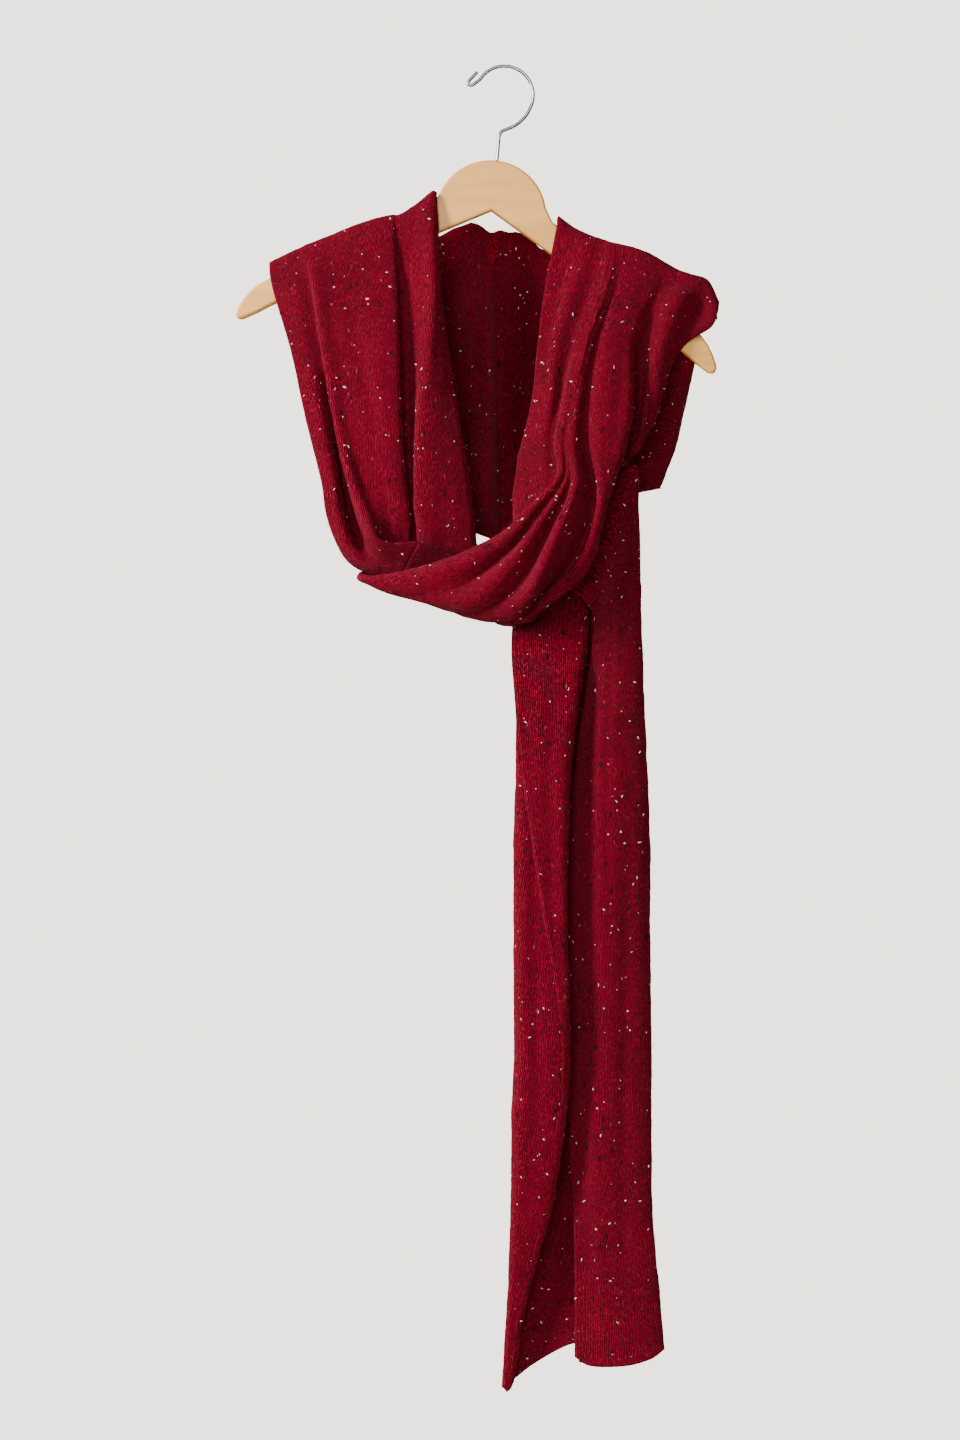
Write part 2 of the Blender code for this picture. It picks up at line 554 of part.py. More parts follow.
def add_hanger(collection):
    """The wooden hanger: a flat outline with rounded edges."""
    curve = bpy.data.curves.new("hanger_wood", "CURVE")
    curve.dimensions = "2D"
    curve.fill_mode = "BOTH"
    curve.extrude = HANGER_WOOD / 2 * MM - WOOD_ROUND * MM
    curve.bevel_depth = WOOD_ROUND * MM
    curve.bevel_resolution = 1
    curve.offset = -WOOD_ROUND * MM
    outline = hanger_outline()
    line = curve.splines.new("POLY")
    line.points.add(len(outline) - 1)
    for point, (across, drop) in zip(line.points, outline):
        x, down = hanger_point(across, drop)
        point.co = (x * MM, -down * MM, 0.0, 1.0)
    line.use_cyclic_u = True
    hanger = add_object("hanger_wood", curve, "wood", collection)
    hanger.rotation_euler = (math.pi / 2, 0.0, 0.0)
    return hanger


def hook_route():
    """Middle of the hook's wire, from its free end round to the hanger."""
    route = [(-27.2, 3.8), (-31.5, 8.3), (-35.2, 12.4), (-35.6, 14.4), (-34.2, 15.9),
             (-31.8, 15.8), (-28.6, 13.6)]
    turn = HOOK_START
    while turn <= HOOK_END + 0.1:
        angle = math.radians(turn)
        route.append((HOOK_CENTRE[0] + HOOK_RADIUS * math.cos(angle),
                      HOOK_CENTRE[1] + HOOK_RADIUS * math.sin(angle)))
        turn += 13.0
    route += [(17.5, 44.0), (8.3, 52.6), (0.5, 56.2), (-4.8, 58.6), (-6.8, 62.0), (-8.0, 74.0)]
    route.append((DOME_TOP[0], DOME_TOP[1] - CUT_GAP))
    return route


def add_hook(collection):
    """The wire hook that stands in the hanger's dome."""
    curve = bpy.data.curves.new("hanger_hook", "CURVE")
    curve.dimensions = "3D"
    curve.bevel_depth = HOOK_WIRE / 2 * MM
    curve.bevel_resolution = 2
    curve.use_fill_caps = True
    route = hook_route()
    line = curve.splines.new("POLY")
    line.points.add(len(route) - 1)
    for point, (across, drop) in zip(line.points, route):
        point.co = (across * MM, 0.0, -drop * MM, 1.0)
    return add_object("hanger_hook", curve, "wire", collection)


def build():
    """Clears the scene and builds every piece."""
    for thing in list(bpy.data.objects):
        bpy.data.objects.remove(thing, do_unlink=True)
    collection = bpy.data.collections.new(OBJECT_NAME)
    bpy.context.scene.collection.children.link(collection)

    strands = (
        (right_sections(), RIGHT_ROWS, (), ("right_strand_drop",)),
        (tail_sections(), TAIL_ROWS, TAIL_CUTS, ("right_strand_wrap", "right_tail_front")),
        (left_sections(), LEFT_ROWS, LEFT_CUTS,
         ("left_strand_drop", "left_strand_pass", "left_tail_back")),
    )
    for sections, rows, cuts, names in strands:
        stops = places(rows)
        ends = (0.0,) + cuts + (float(len(sections) - 1),)
        for name, start, end in zip(names, ends, ends[1:]):
            net = length_of_strip(sections, stops, start, end)
            add_cloth(name, grid_mesh(name, net), collection)
    add_cloth("hood", hood_mesh(), collection)
    add_hanger(collection)
    add_hook(collection)


build()
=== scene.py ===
"""Hooded scarf in flecked wool knit, wound once on itself, on a wooden hanger.

Lengths in the tables are millimetres. A place is given as across (to the viewer's right),
drop (down from the inner top of the hook) and out (towards the viewer), so that
X = across, Y = -out and Z = -drop. Laid out as an add-on and run as a script.
"""
import math
from collections import namedtuple

import bmesh
import bpy
import numpy as np
from bpy.props import FloatProperty, FloatVectorProperty, IntProperty, PointerProperty
from mathutils import Matrix, Vector, noise


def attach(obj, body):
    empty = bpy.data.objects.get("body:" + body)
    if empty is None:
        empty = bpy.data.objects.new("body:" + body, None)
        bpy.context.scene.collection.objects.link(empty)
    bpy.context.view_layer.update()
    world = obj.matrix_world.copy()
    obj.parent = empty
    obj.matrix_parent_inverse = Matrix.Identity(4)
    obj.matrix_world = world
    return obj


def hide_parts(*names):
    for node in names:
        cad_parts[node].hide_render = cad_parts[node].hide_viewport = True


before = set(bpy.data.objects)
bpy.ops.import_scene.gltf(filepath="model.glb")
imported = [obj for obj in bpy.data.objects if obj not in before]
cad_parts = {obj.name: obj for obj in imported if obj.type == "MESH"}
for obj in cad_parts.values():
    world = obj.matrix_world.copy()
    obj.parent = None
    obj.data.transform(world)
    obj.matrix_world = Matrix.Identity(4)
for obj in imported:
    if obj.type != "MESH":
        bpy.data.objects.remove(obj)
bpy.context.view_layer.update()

bl_info = {
    "name": "Hooded knit scarf on a hanger",
    "version": (1, 0, 0),
    "blender": (4, 5, 0),
    "location": "View3D > Sidebar > Scarf",
    "description": "Builds a hooded scarf in flecked wool knit, wound once on itself, on a hanger",
    "category": "Object",
}

MM = 0.001
BODY = "root"

# ---- the cloth's form, as in the solids, mm
BACK_OUT = -7.35             # plane of the cloth that has just passed over the hanger
BACK_BELOW_TOP = 40.0        # how far down the back a strand reaches before the hood
BACK_RISE = 0.6              # share of that by which its outer edge ends higher
BROW = 10.0                  # drop from the top line to where the cloth turns down
BROW_OUT = 10.5              # how far out it turns down, in front of the hanger
BROW_IN = 0.12               # share of the way to the shoulder's place at which it does
ROUND_DROP = 0.28            # of BROW, where the cloth bends over the hanger's edges
ROUND_BACK = 0.82            # of BACK_OUT, at the bend behind
ROUND_FRONT = 0.75           # of the brow's out, at the bend in front
LEVEL_BELOW_TOP = 24.0       # nearest to the top line that a level of the front comes
TURN_FULLNESS = 0.86         # how soon a layer comes flat after a turn
HOOD_GAP = 2.5               # between a strand's end behind the hanger and the hood

SWING_CENTRE = (-71.0, 306.0)                         # middle of the knot
SWING_ANGLES = (31.0, 48.0, 62.5)
LEVELS = ("shoulder", "chest", "breast", "waist", "bend")     # columns of the fold lines
FRONT_DROPS = (207.0, 257.0, 307.0, 349.0)            # levels of the right strand
LEFT_DROPS = (202.0, 262.0, 326.0, 381.0, 417.0)      # levels of the left strand

# silhouette over the arms: across, drop
RIGHT_TOP_LINE = ((47, 137), (60, 146), (74, 157), (79, 155), (96, 162), (123, 167),
                  (144, 179), (163, 191), (178, 191), (189, 200), (194, 215))
LEFT_TOP_LINE = ((-218, 180), (-204, 173), (-183, 163), (-145, 148), (-119, 139),
                 (-106, 136), (-100, 136), (-89, 130), (-80, 124), (-72, 117),
                 (-68, 114), (-65, 115))

# One row for each fold line of the right strand, from its inner edge to its outer one.
# over: across at the top of the hanger. shoulder to waist: (across, out) at the levels
# FRONT_DROPS. high, mid, low: (radius, out) at SWING_ANGLES. run: (angle, radius, out).
# turn: (across, drop, out) where the line rolls under the knot. back: the same, behind it.
RightFold = namedtuple("RightFold", "name over shoulder chest breast waist high mid low run turn back")
RIGHT_FOLDS = [RightFold(*row) for row in (
    ("inner_edge", 47, (34, 9), (28, 9), (23, 10), (13, 12),
     (96, 12), (115, 12), (156, 19), (88, 167, 22), (-135, 465, 6), (-125, 462, -3)),
    ("inner_slope", 62, (50, 10), (36, 11), (31, 16), (22, 20),
     (108, 19), (123, 18), (152, 21), (88, 163, 24), (-136, 466.5, 6), (-126, 463, -3)),
    ("roll_left", 78, (58, 16), (42, 17), (38, 22), (31, 25),
     (121, 25), (133, 22), (147, 24), (88, 158, 26), (-137, 468, 6), (-126, 464.5, -3)),
    ("roll_tuck", 87, (75, 13), (57, 15), (47, 20), (40, 26),
     (132, 29), (140, 27), (142, 29), (88, 154, 29), (-137, 470, 6), (-126, 466, -3)),
    ("sweep_top", 92, (83, 17), (65, 21), (53, 27), (45, 32),
     (136, 35), (136, 38), (141, 37), (88, 152, 34), (-136, 471.5, 7), (-122, 468, -2)),
    ("band_crest", 95, (86, 19), (68, 24), (56, 30), (48, 35),
     (139, 38), (141, 42), (149, 43), (88, 164, 40), (-128, 475, 7), (-114, 472, -2)),
    ("band_valley", 97, (88, 19), (70, 25), (58, 31), (50, 36),
     (142, 38), (145, 39), (157, 36), (84, 177, 33), (-110, 483, 7), (-98, 479, -2)),
    ("mid_crest", 99, (90, 20), (72, 26), (60, 32), (52, 37),
     (145, 40), (152, 45), (166, 48), (79, 190, 41), (-75, 492, 8), (-66, 487, -2)),
    ("mid_valley", 101, (92, 19), (74, 25), (62, 32), (55, 38),
     (149, 40), (162, 39), (185, 39), (75, 201, 33), (-49, 501, 8), (-42, 495, -2)),
    ("main_crest", 104, (95, 18), (77, 24), (65, 31), (59, 37),
     (155, 41), (172, 49), (201, 49), (69, 213, 39), (-25, 508, 9), (-20, 502, -2)),
    ("deep_valley", 108, (99, 17), (81, 21), (71, 27), (69, 30),
     (173, 29), (196, 26), (211, 28), (67, 218, 27), (-14, 510, 9), (-12, 505, -1)),
    ("right_crest", 113, (103, 18), (86, 24), (81, 31), (80, 35),
     (181, 38), (204, 35), (215, 30), (66, 221, 22), (-6, 512, 8), (-8, 507, 1)),
    ("panel", 128, (117, 18), (100, 24), (97, 31), (95, 36),
     (186, 38), (210, 34), (218, 26), (66, 222, 17), (-1, 513, 7), (-4, 510, 3)),
    ("panel_fold", 145, (131, 16), (113, 21), (113, 27), (107, 32),
     (190, 34), (215, 28), (219, 20), (65, 222, 12), (4, 513, 5), (-1, 511, 1)),
    ("under_fold", 156, (139, 14), (121, 10), (119, 11), (112, 14),
     (186, 24), (211, 18), (215, 13), (66, 219, 7), (5, 509, 2), (0, 508, 0)),
    ("outer_band", 169, (158, 18), (141, 18), (130, 17), (118, 17),
     (181, 16), (206, 14), (210, 9), (66, 214, 3), (4, 505, 0), (-1, 505, -1.5)),
    ("outer_fold", 183, (175, 8), (154, 11), (144, 13), (125, 13),
     (177, 13), (202, 11), (206, 6), (67, 210, 0), (2, 502, -2), (-3, 502, -2.5)),
    ("outer_edge", 194, (188, 12), (162, 7), (139, 9), (120, 10),
     (171, 11), (197, 9), (202, 3), (68, 206, -1), (0, 499, -3), (-5, 499, -3.5)),
)]

# One row for each fold line of the left strand, from its outer edge to its inner one.
# over: across at the top of the hanger. shoulder to bend: (across, out) at LEFT_DROPS.
# turn, under: (across, drop, out) as the strand runs in behind the right one.
LeftFold = namedtuple("LeftFold", "name over shoulder chest breast waist bend turn under")
LEFT_FOLDS = [LeftFold(*row) for row in (
    ("outer_edge", -218, (-215, 9), (-198, 10), (-184, 11), (-170, 12),
     (-164, 12), (-145, 455, 4.5), (-106, 474, 6)),
    ("outer_band", -201, (-195, 12), (-183, 13), (-170, 15), (-158, 16),
     (-152, 17), (-136, 454.5, 10), (-100, 471, 9)),
    ("hollow", -188, (-180, 12), (-170, 10), (-159, 7), (-149.5, 0),
     (-142, 0), (-125, 450, 12), (-93, 460, 14)),
    ("left_fold", -183, (-176, 17), (-168, 18), (-157, 20), (-143, 23),
     (-129, 25), (-117, 437, 26), (-80, 438, 22)),
    ("panel_left", -167, (-164, 15), (-155, 17), (-145, 19), (-132, 20),
     (-120, 21), (-110, 441, 19), (-74, 445, 17)),
    ("panel_mid", -143, (-139, 15), (-133, 18), (-125, 21), (-118, 21),
     (-109, 19), (-103, 447, 15), (-69, 452, 13)),
    ("panel_right", -119, (-116, 16), (-113, 19), (-110, 22), (-105, 22),
     (-100, 19), (-95, 451, 12), (-62, 458, 10)),
    ("panel_fold", -106, (-101, 14), (-99, 16), (-97, 18), (-93, 18),
     (-89, 16), (-86, 454, 9), (-55, 463, 7)),
    ("tuck", -102, (-105, 9), (-104, 7), (-102, 7), (-98, 7),
     (-93, 8), (-84, 456, 4), (-50, 465, 0)),
    ("gap", -98, (-95, 7), (-93, 4), (-90, 4), (-88, 6),
     (-87, 7), (-80, 455, 3), (-46, 463, 0)),
    ("inner_panel", -84, (-81, 12), (-83, 10), (-85, 9), (-86, 11),
     (-84, 12), (-76, 452, 5), (-42, 459, 1)),
    ("inner_ridge", -72, (-68, 18), (-72, 19), (-79, 19), (-82, 19),
     (-80, 18), (-71, 449, 8), (-37, 454, 2)),
    ("facet", -68, (-62, 14), (-61, 15), (-60, 17), (-58, 18),
     (-56, 17), (-50, 446, 9), (-26, 447, 3)),
    ("inner_edge", -65, (-60, 9), (-53, 9), (-43, 10), (-34, 11),
     (-29, 10), (-26, 441, 7), (-12, 438, 3)),
)]

# Left strand behind the loop, folded on itself: where its lines BACK_TAIL_LINES turn,
# (across, drop), and how far out each of its layers starts and ends.
Layers = namedtuple("Layers", "turns outs")
LEFT_PASS = [Layers(*row) for row in (
    (((-30, 474), (-26, 452), (-12, 464), (6, 424)), ((5, 12), (7, 1.5), (-2.5, -2.5))),
    (((38, 472), (50, 430), (54, 458), (74, 396)), ((3, 5.5), (1, 0), (-4.5, -4.5))),
    (((70, 490), (117, 366), (78, 478), (110, 374)), ((3, 5.5), (0, 0), (-5, -5))),
)]
# Right strand behind the left one: (across, drop) of its lower and of its upper side,
# out of its front layer, and the step back to the next.
RIGHT_WRAP = (
    ((-108, 477), (-119, 458), -4.4, 3.2),
    ((-62, 491), (-68, 447), -7.5, 3.8),
    ((-10, 497), (-8, 443), -8.5, 4.0),
    ((4, 498), (40, 456), -8.5, 4.0),
    ((5, 500), (70, 476), -8.5, 4.0),
)
WRAP_SHARES = (0.6, 0.92, 0.0, 1.0, 0.0)     # where its turns lie, from the lower side

# Tail of the right strand, in front: a strip folded in Z behind its own left edge. Across
# at each level: its edge, the turns of its layers and its end. Out: of each of its layers.
FRONT_TAIL_LINES = (0, 2, 12, 22, 34)
FrontTail = namedtuple("FrontTail", "drop edge right left far end out_front out_mid out_back")
FRONT_TAIL = [FrontTail(*row) for row in (
    (508, 5, 76, 8, 86, 48, -7.5, -11.5, -15.5),
    (538, 4, 73, 7, 87, 46, 6, 1, -13),
    (582, 7, 66, 9, 87, 46, 14, 8, -11),
    (637, 11, 59, 9, 88, 47, 18, 11, -10),
    (703, 21, 56, 7, 89, 48, 20, 13, -10),
    (769, 31, 54.5, 7, 95, 50, 21, 15, -10),
    (859, 46, 54.5, 7, 108, 62, 21, 16.2, -10),
    (911, 49.5, 54.5, 7, 112, 67, 19.5, 15.2, -9),
    (966, 46.5, 51.5, 5, 115, 69, 18.3, 14, -8),
    (1056, 32.5, 37.5, 4, 118, 72, 16, 11.7, -7),
    (1134, 12, 17, 1, 120, 74, 11, 6.7, -6),
    (1200, 1.5, 6, -4, 120, 75, 5.5, 1.5, -5),
)]
FRONT_HEM = ((-3, 1214), (0, 1218), (6, 1208), (14, 1201), (30, 1190), (48, 1180),
             (62, 1174), (120, 1168))

# Tail of the left strand, behind and to the right: the level at its right and at its left,
# its two sides, where the layers under its front turn, how far its left side falls back
# and its right side bends back, and how far out its front lies.
BackTail = namedtuple("BackTail", "drop_right drop_left right left under fall bend out_front")
BACK_TAIL_LINES = (0, 8, 17, 26)
BACK_TAIL = [BackTail(*row) for row in (
    (408, 504, 120, 79, 86, 4, 0, 6),
    (466, 526, 122, 79, 88, 7, 3, 8),
    (545, 565, 124, 74, 89, 11, 6, 10),
    (637, 637, 128, 62, 87, 16, 9, 12),
    (717, 717, 131, 57, 84, 16, 10, 13),
    (794, 794, 131, 56, 81, 16, 10, 13),
    (902, 902, 132, 56, 78, 15, 9, 13),
    (966, 966, 132, 56, 76, 12, 7, 13),
    (1056, 1056, 133, 61, 72, 6, 5, 13),
    (1111, 1111, 138, 62, 69, 4, 4, 12),
    (1180, 1180, 144, 62, 67, 3.5, 4, 11),
)]
BACK_HEM = ((62, 1184), (67, 1190), (84, 1193), (110, 1192), (131, 1187), (144, 1178))
RETURN_STEP = 4.5            # from the front tail's back layer to its short return
BACK_LAYER = 5.2             # step back from one layer of the folded tail to the next
FALL_SHARES = (1.0, 0.8, 0.42, 0.12, 0.0)    # of its fall, at the first lines from its left
UNDER_IN = 5.0               # its second turn lies this far inside its right side
BEND_START = 84.0            # where across its bend begins
BEND_CURVE = 1.6             # power of its bend

# One row for each line down the hood, from its left face edge round the back to its
# right face edge: (across, drop, out) at the top, two levels between, and the crown.
HoodLine = namedtuple("HoodLine", "name steps top chest low crown")
HOOD_LINES = [HoodLine(*row) for row in (
    ("left_face", 3, (-64, 164, -8.6), (-66, 240, -13), (-62, 330, -15), (-9, 433, -24)),
    ("left_near", 3, (-130, 190, -8.6), (-125, 250, -14), (-112, 330, -18), (-60, 416, -25)),
    ("left_turn", 2, (-200, 219, -9), (-186, 262, -15), (-163, 335, -19), (-120, 397, -26)),
    ("left_side", 1, (-210, 222, -17), (-192, 264, -27), (-170, 338, -28), (-160, 384, -27)),
    ("left_outer", 2, (-203, 217, -27), (-182, 256, -39), (-160, 333, -40), (-142, 390, -27)),
    ("left_far", 2, (-130, 184, -33), (-120, 240, -47), (-108, 326, -47), (-98, 404, -26)),
    ("left_valley", 1, (-60, 147, -34), (-52, 215, -45), (-44, 310, -46), (-52, 419, -25)),
    ("left_bump", 2, (-33, 137, -30), (-35, 205, -38), (-28, 305, -37), (-34, 424, -25)),
    ("seam", 2, (-12, 146, -27), (-12, 200, -27), (-11, 303, -25), (-9, 433, -24)),
    ("right_bump", 1, (8, 145, -29), (8, 205, -35), (6, 305, -35), (14, 425, -25)),
    ("right_valley", 2, (22, 152, -33), (24, 215, -44), (20, 312, -46), (30, 418, -25)),
    ("right_far", 2, (100, 205, -33), (92, 262, -46), (84, 330, -46), (80, 401, -26)),
    ("right_outer", 1, (168, 243, -27), (164, 285, -37), (150, 345, -38), (124, 388, -26)),
    ("right_side", 2, (177, 252, -17), (170, 288, -25), (155, 350, -26), (142, 385, -26)),
    ("right_turn", 3, (166, 252, -9), (160, 288, -14), (146, 348, -18), (104, 393, -25)),
    ("right_near", 3, (110, 216, -8.6), (104, 262, -14), (95, 332, -18), (45, 412, -25)),
    ("right_face", 0, (48, 170, -8.6), (54, 240, -13), (52, 330, -15), (-9, 433, -24)),
)]
HOOD_STEP = 9.0              # length that each of a line's steps stands for
HOOD_ROWS = (60.0, 80.0, 80.0)               # length from each of its levels to the next
NAPE_WAVE = 1.1              # height of the small waves along the nape's rolled edge
NAPE_LENGTHS = (3.9, 2.5)    # lengths of those waves, for each radian
NAPE_DEEP = 0.05             # share of the hood's height in which they run out
TOP_DEEP = 0.2               # the same for its fit to the strands' ends
CROWN_START = 0.93           # share of the way down where its sides come together
CROWN_DEEP = 0.07            # and the share over which they do
CROWN_CORNER = (4.0, -5.0, 6.0)              # its two ends from the seam, at the crown
HOOD_FAN = 0.16              # how far its wales spread from the centre seam, for each unit down

# ---- flat sizes of the knitted strip, m
STRIP_WIDTH = 0.195
HOOD_LENGTH = 0.66

# ---- hanger, mm, in its own frame: across and drop from the top of its dome
TILT = math.radians(6.6)     # the right end hangs lower
DOME_TOP = (-9.2, 86.0)      # where the top of the dome is, across and drop as for the cloth
HANGER_HALF = 222.5
HANGER_WOOD = 12.0
WOOD_ROUND = 2.5
DOME_RADIUS = 51.5
NOTCH_DROP = 46.0            # apex of the notch under the dome
TIP_DROP = 171.0
UNDER_SLOPE = 0.56           # fall of the lower edge for each unit across
NECK_HALF = 57.0             # where the dome runs into the arm
NECK_DROP = 50.0
ARM_MIDDLE = (70.0, 58.5)    # a place of the arm's upper edge, near the dome
SHOULDER_HALF = 196.0        # where the arm's upper edge starts to turn into the tip
SHOULDER_DROP = 132.0
TIP_ROUND = ((205.0, 138.0), (212.0, 145.5), (218.0, 155.0), (221.5, 162.5),
             (HANGER_HALF, TIP_DROP - 5), (221.8, TIP_DROP - 1.5),
             (HANGER_HALF - 3.0, TIP_DROP), (215.5, TIP_DROP))
UNDER_EDGE = ((203.0, 4.0), (190.0, 2.5), (100.0, 0.0))       # across, and below the slope

# ---- hook, mm, across and drop as for the cloth
HOOK_WIRE = 3.2
HOOK_RADIUS = 26.6           # to the middle of the wire
HOOK_CENTRE = (-2.3, 25.0)
HOOK_START = -147.0          # degrees round from the right, clockwise as seen
HOOK_END = 22.0
HOOK_STEP = 13.0
HOOK_TIP = ((-27.2, 3.8), (-31.5, 8.3), (-35.2, 12.4), (-35.6, 14.4), (-34.2, 15.9),
            (-31.8, 15.8), (-28.6, 13.6))
HOOK_STEM = ((17.5, 44.0), (8.3, 52.6), (0.5, 56.2), (-4.8, 58.6), (-6.8, 62.0), (-8.0, 74.0))

# ---- flecks and fibres, m: the shortest and the longest, and the thinnest and the widest
PALE_LONG = (0.0008, 0.0042)
PALE_WIDE = (0.0006, 0.0017)
DARK_LONG = (0.0010, 0.0034)
DARK_WIDE = (0.0007, 0.0014)
FLECK_FLAT = 0.6             # thickness of a fleck for each unit of its width
FLECK_RISE = 0.12            # how far its middle lies off the cloth, the same
FIBRE_HALF = 0.00009         # half the width of a loose fibre at its root
SQUARE_DM = 0.01             # a square decimetre, in square metres
PALE_SEED = 11
DARK_SEED = 31
FIBRE_SEED = 51

# ---- stage, m
FLOOR_RADIUS = 1.2
LIGHTS = (("key", (-2.45, -1.2, 0.4), 0.5, 1.6),              # name, place, width, height
          ("fill", (-0.5, -2.6, 0.3), 1.2, 1.2),
          ("back", (0.9, 1.9, 0.4), 1.6, 1.6))
LIGHT_AIM = (0.0, 0.0, -0.45)
CAMERA_AT = (-0.0248, -2.4, -0.6)
CAMERA_HIGH = 1.325          # how much of the part's plane the picture's height shows
SENSOR = 24.0                # mm


# ---- settings

LENGTH = {"unit": "LENGTH"}
POWER = {"unit": "POWER", "min": 0.0, "max": 1000.0}
COLOUR = {"subtype": "COLOR", "size": 3, "min": 0.0, "max": 1.0}


class KnitSettings(bpy.types.PropertyGroup):
    """Sizes and colours of the knitted cloth."""

    wall: FloatProperty(name="Cloth thickness", description="Thickness of the knit",
                        default=0.0022, min=0.001, max=0.003, **LENGTH)
    cell: FloatProperty(name="Cell", description="Length of the cloth's faces",
                        default=0.0026, min=0.0015, max=0.01, **LENGTH)
    wale: FloatProperty(name="Wale", description="Distance from one column of stitches to the next",
                        default=0.0027, min=0.001, max=0.01, **LENGTH)
    course: FloatProperty(name="Course", description="Distance from one row of stitches to the next",
                          default=0.0021, min=0.001, max=0.01, **LENGTH)
    relief: FloatProperty(name="Relief", description="Height of the stitches",
                          default=0.0015, min=0.0, max=0.003, **LENGTH)
    ripple: FloatProperty(name="Ripple", description="Height of the small unevenness of the cloth",
                          default=0.0007, min=0.0, max=0.003, **LENGTH)
    red: FloatVectorProperty(name="Red", description="Main colour of the yarn",
                             default=(0.34, 0.0016, 0.0235), **COLOUR)
    dark: FloatVectorProperty(name="Dark", description="Colour of the yarn's darker fibres",
                              default=(0.03, 0.003, 0.007), **COLOUR)
    pale: FloatVectorProperty(name="Pale", description="Colour of the yarn's pale fibres",
                              default=(0.50, 0.06, 0.11), **COLOUR)


class FleckSettings(bpy.types.PropertyGroup):
    """Flecks and loose fibres of the yarn."""

    pale_count: IntProperty(name="Pale flecks", description="Pale flecks on each square decimetre",
                            default=20, min=0, max=200)
    dark_count: IntProperty(name="Dark flecks", description="Dark flecks on each square decimetre",
                            default=3, min=0, max=200)
    fibre_count: IntProperty(name="Fibres", description="Loose fibres on each square decimetre",
                             default=230, min=0, max=1000)
    fibre_length: FloatProperty(name="Fibre length", description="Length of the longest loose fibres",
                                default=0.008, min=0.001, max=0.03, **LENGTH)
    pale: FloatVectorProperty(name="Pale", description="Colour of the pale flecks",
                              default=(0.95, 0.77, 0.76), **COLOUR)
    dark: FloatVectorProperty(name="Dark", description="Colour of the dark flecks",
                              default=(0.03, 0.012, 0.016), **COLOUR)


class HangerSettings(bpy.types.PropertyGroup):
    """Finish of the hanger."""

    wood: FloatVectorProperty(name="Wood", description="Colour of the wood",
                              default=(0.98, 0.47, 0.10), **COLOUR)
    grain: FloatVectorProperty(name="Grain", description="Colour of the wood's darker grain",
                               default=(0.84, 0.36, 0.06), **COLOUR)
    wire: FloatVectorProperty(name="Wire", description="Colour of the plated wire",
                              default=(0.40, 0.40, 0.41), **COLOUR)


class StageSettings(bpy.types.PropertyGroup):
    """Floor and light."""

    floor_drop: FloatProperty(name="Floor", description="How far under the hook the floor lies",
                              default=1.6, min=1.3, max=3.0, **LENGTH)
    pale: FloatVectorProperty(name="Surround", description="Colour of the floor and surround",
                              default=(0.76, 0.71, 0.63), **COLOUR)
    key: FloatProperty(name="Key light", description="Power of the main light", default=180.0,
                       **POWER)
    fill: FloatProperty(name="Fill light", description="Power of the fill light", default=34.0,
                        **POWER)
    back: FloatProperty(name="Back light", description="Power of the light behind", default=30.0,
                        **POWER)
    surround: FloatProperty(name="Surround light", description="Light that the surround gives",
                            default=0.34, min=0.0, max=5.0)
    backdrop: FloatProperty(name="Backdrop", description="Brightness of the surround as seen",
                            default=4.0, min=0.0, max=9.0)


# ---- curves and sections

def between(a, b, share):
    """Point, or number, a share of the way from a to b."""
    return a + (b - a) * share


def through(points, places):
    """Points of the centripetal curves through points (along axis 0), at places 0, 1, 2 ..."""
    points = np.asarray(points, float)
    last = len(points) - 1
    places = np.clip(np.asarray(places, float), 0.0, last)
    index = np.minimum(places.astype(int), last - 1)
    share = (places - index).reshape((-1,) + (1,) * (points.ndim - 1))
    padded = np.concatenate([points[:1] * 2 - points[1:2], points, points[-1:] * 2 - points[-2:-1]])
    p0, p1, p2, p3 = (padded[index + step] for step in range(4))

    def gap(a, b):
        return np.maximum(np.linalg.norm(b - a, axis=-1, keepdims=True), 1e-4) ** 0.5

    k1 = gap(p0, p1)
    k2 = k1 + gap(p1, p2)
    k3 = k2 + gap(p2, p3)
    at = k1 + (k2 - k1) * share
    a1 = (p0 * (k1 - at) + p1 * at) / k1
    a2 = (p1 * (k2 - at) + p2 * (at - k1)) / (k2 - k1)
    a3 = (p2 * (k3 - at) + p3 * (at - k2)) / (k3 - k2)
    b1 = (a1 * (k2 - at) + a2 * at) / k2
    b2 = (a2 * (k3 - at) + a3 * (at - k1)) / (k3 - k1)
    return (b1 * (k2 - at) + b2 * (at - k1)) / (k2 - k1)


def height_on(line, across):
    """Drop of a line of (across, drop) points at one place across."""
    return float(np.interp(across, [p[0] for p in line], [p[1] for p in line]))


def swung(angle, radius, out):
    """Point at an angle and radius round the middle of the knot."""
    turn = math.radians(angle)
    return (SWING_CENTRE[0] + radius * math.cos(turn),
            SWING_CENTRE[1] + radius * math.sin(turn), out)


def folded_section(lines, turns, outs):
    """Section of a strip that lies in layers: which lines turn, where, and how far out."""
    found = []
    for layer, (low, high) in enumerate(outs):
        start, end = Vector(turns[layer]), Vector(turns[layer + 1])
        count = lines[layer + 1] - lines[layer]
        before = between(outs[layer - 1][1], low, 0.5) if layer else low
        after = between(high, outs[layer + 1][0], 0.5) if layer + 1 < len(outs) else high
        for step in range(count):
            place = start.lerp(end, step / count)
            out = between(low, high, step / count)
            if step < 2:
                out = between(before, out, (0.0, TURN_FULLNESS)[step])
            elif step == count - 1:
                out = between(after, out, TURN_FULLNESS)
            found.append((place.x, place.y, out))
    found.append((*turns[-1], outs[-1][1]))
    return found


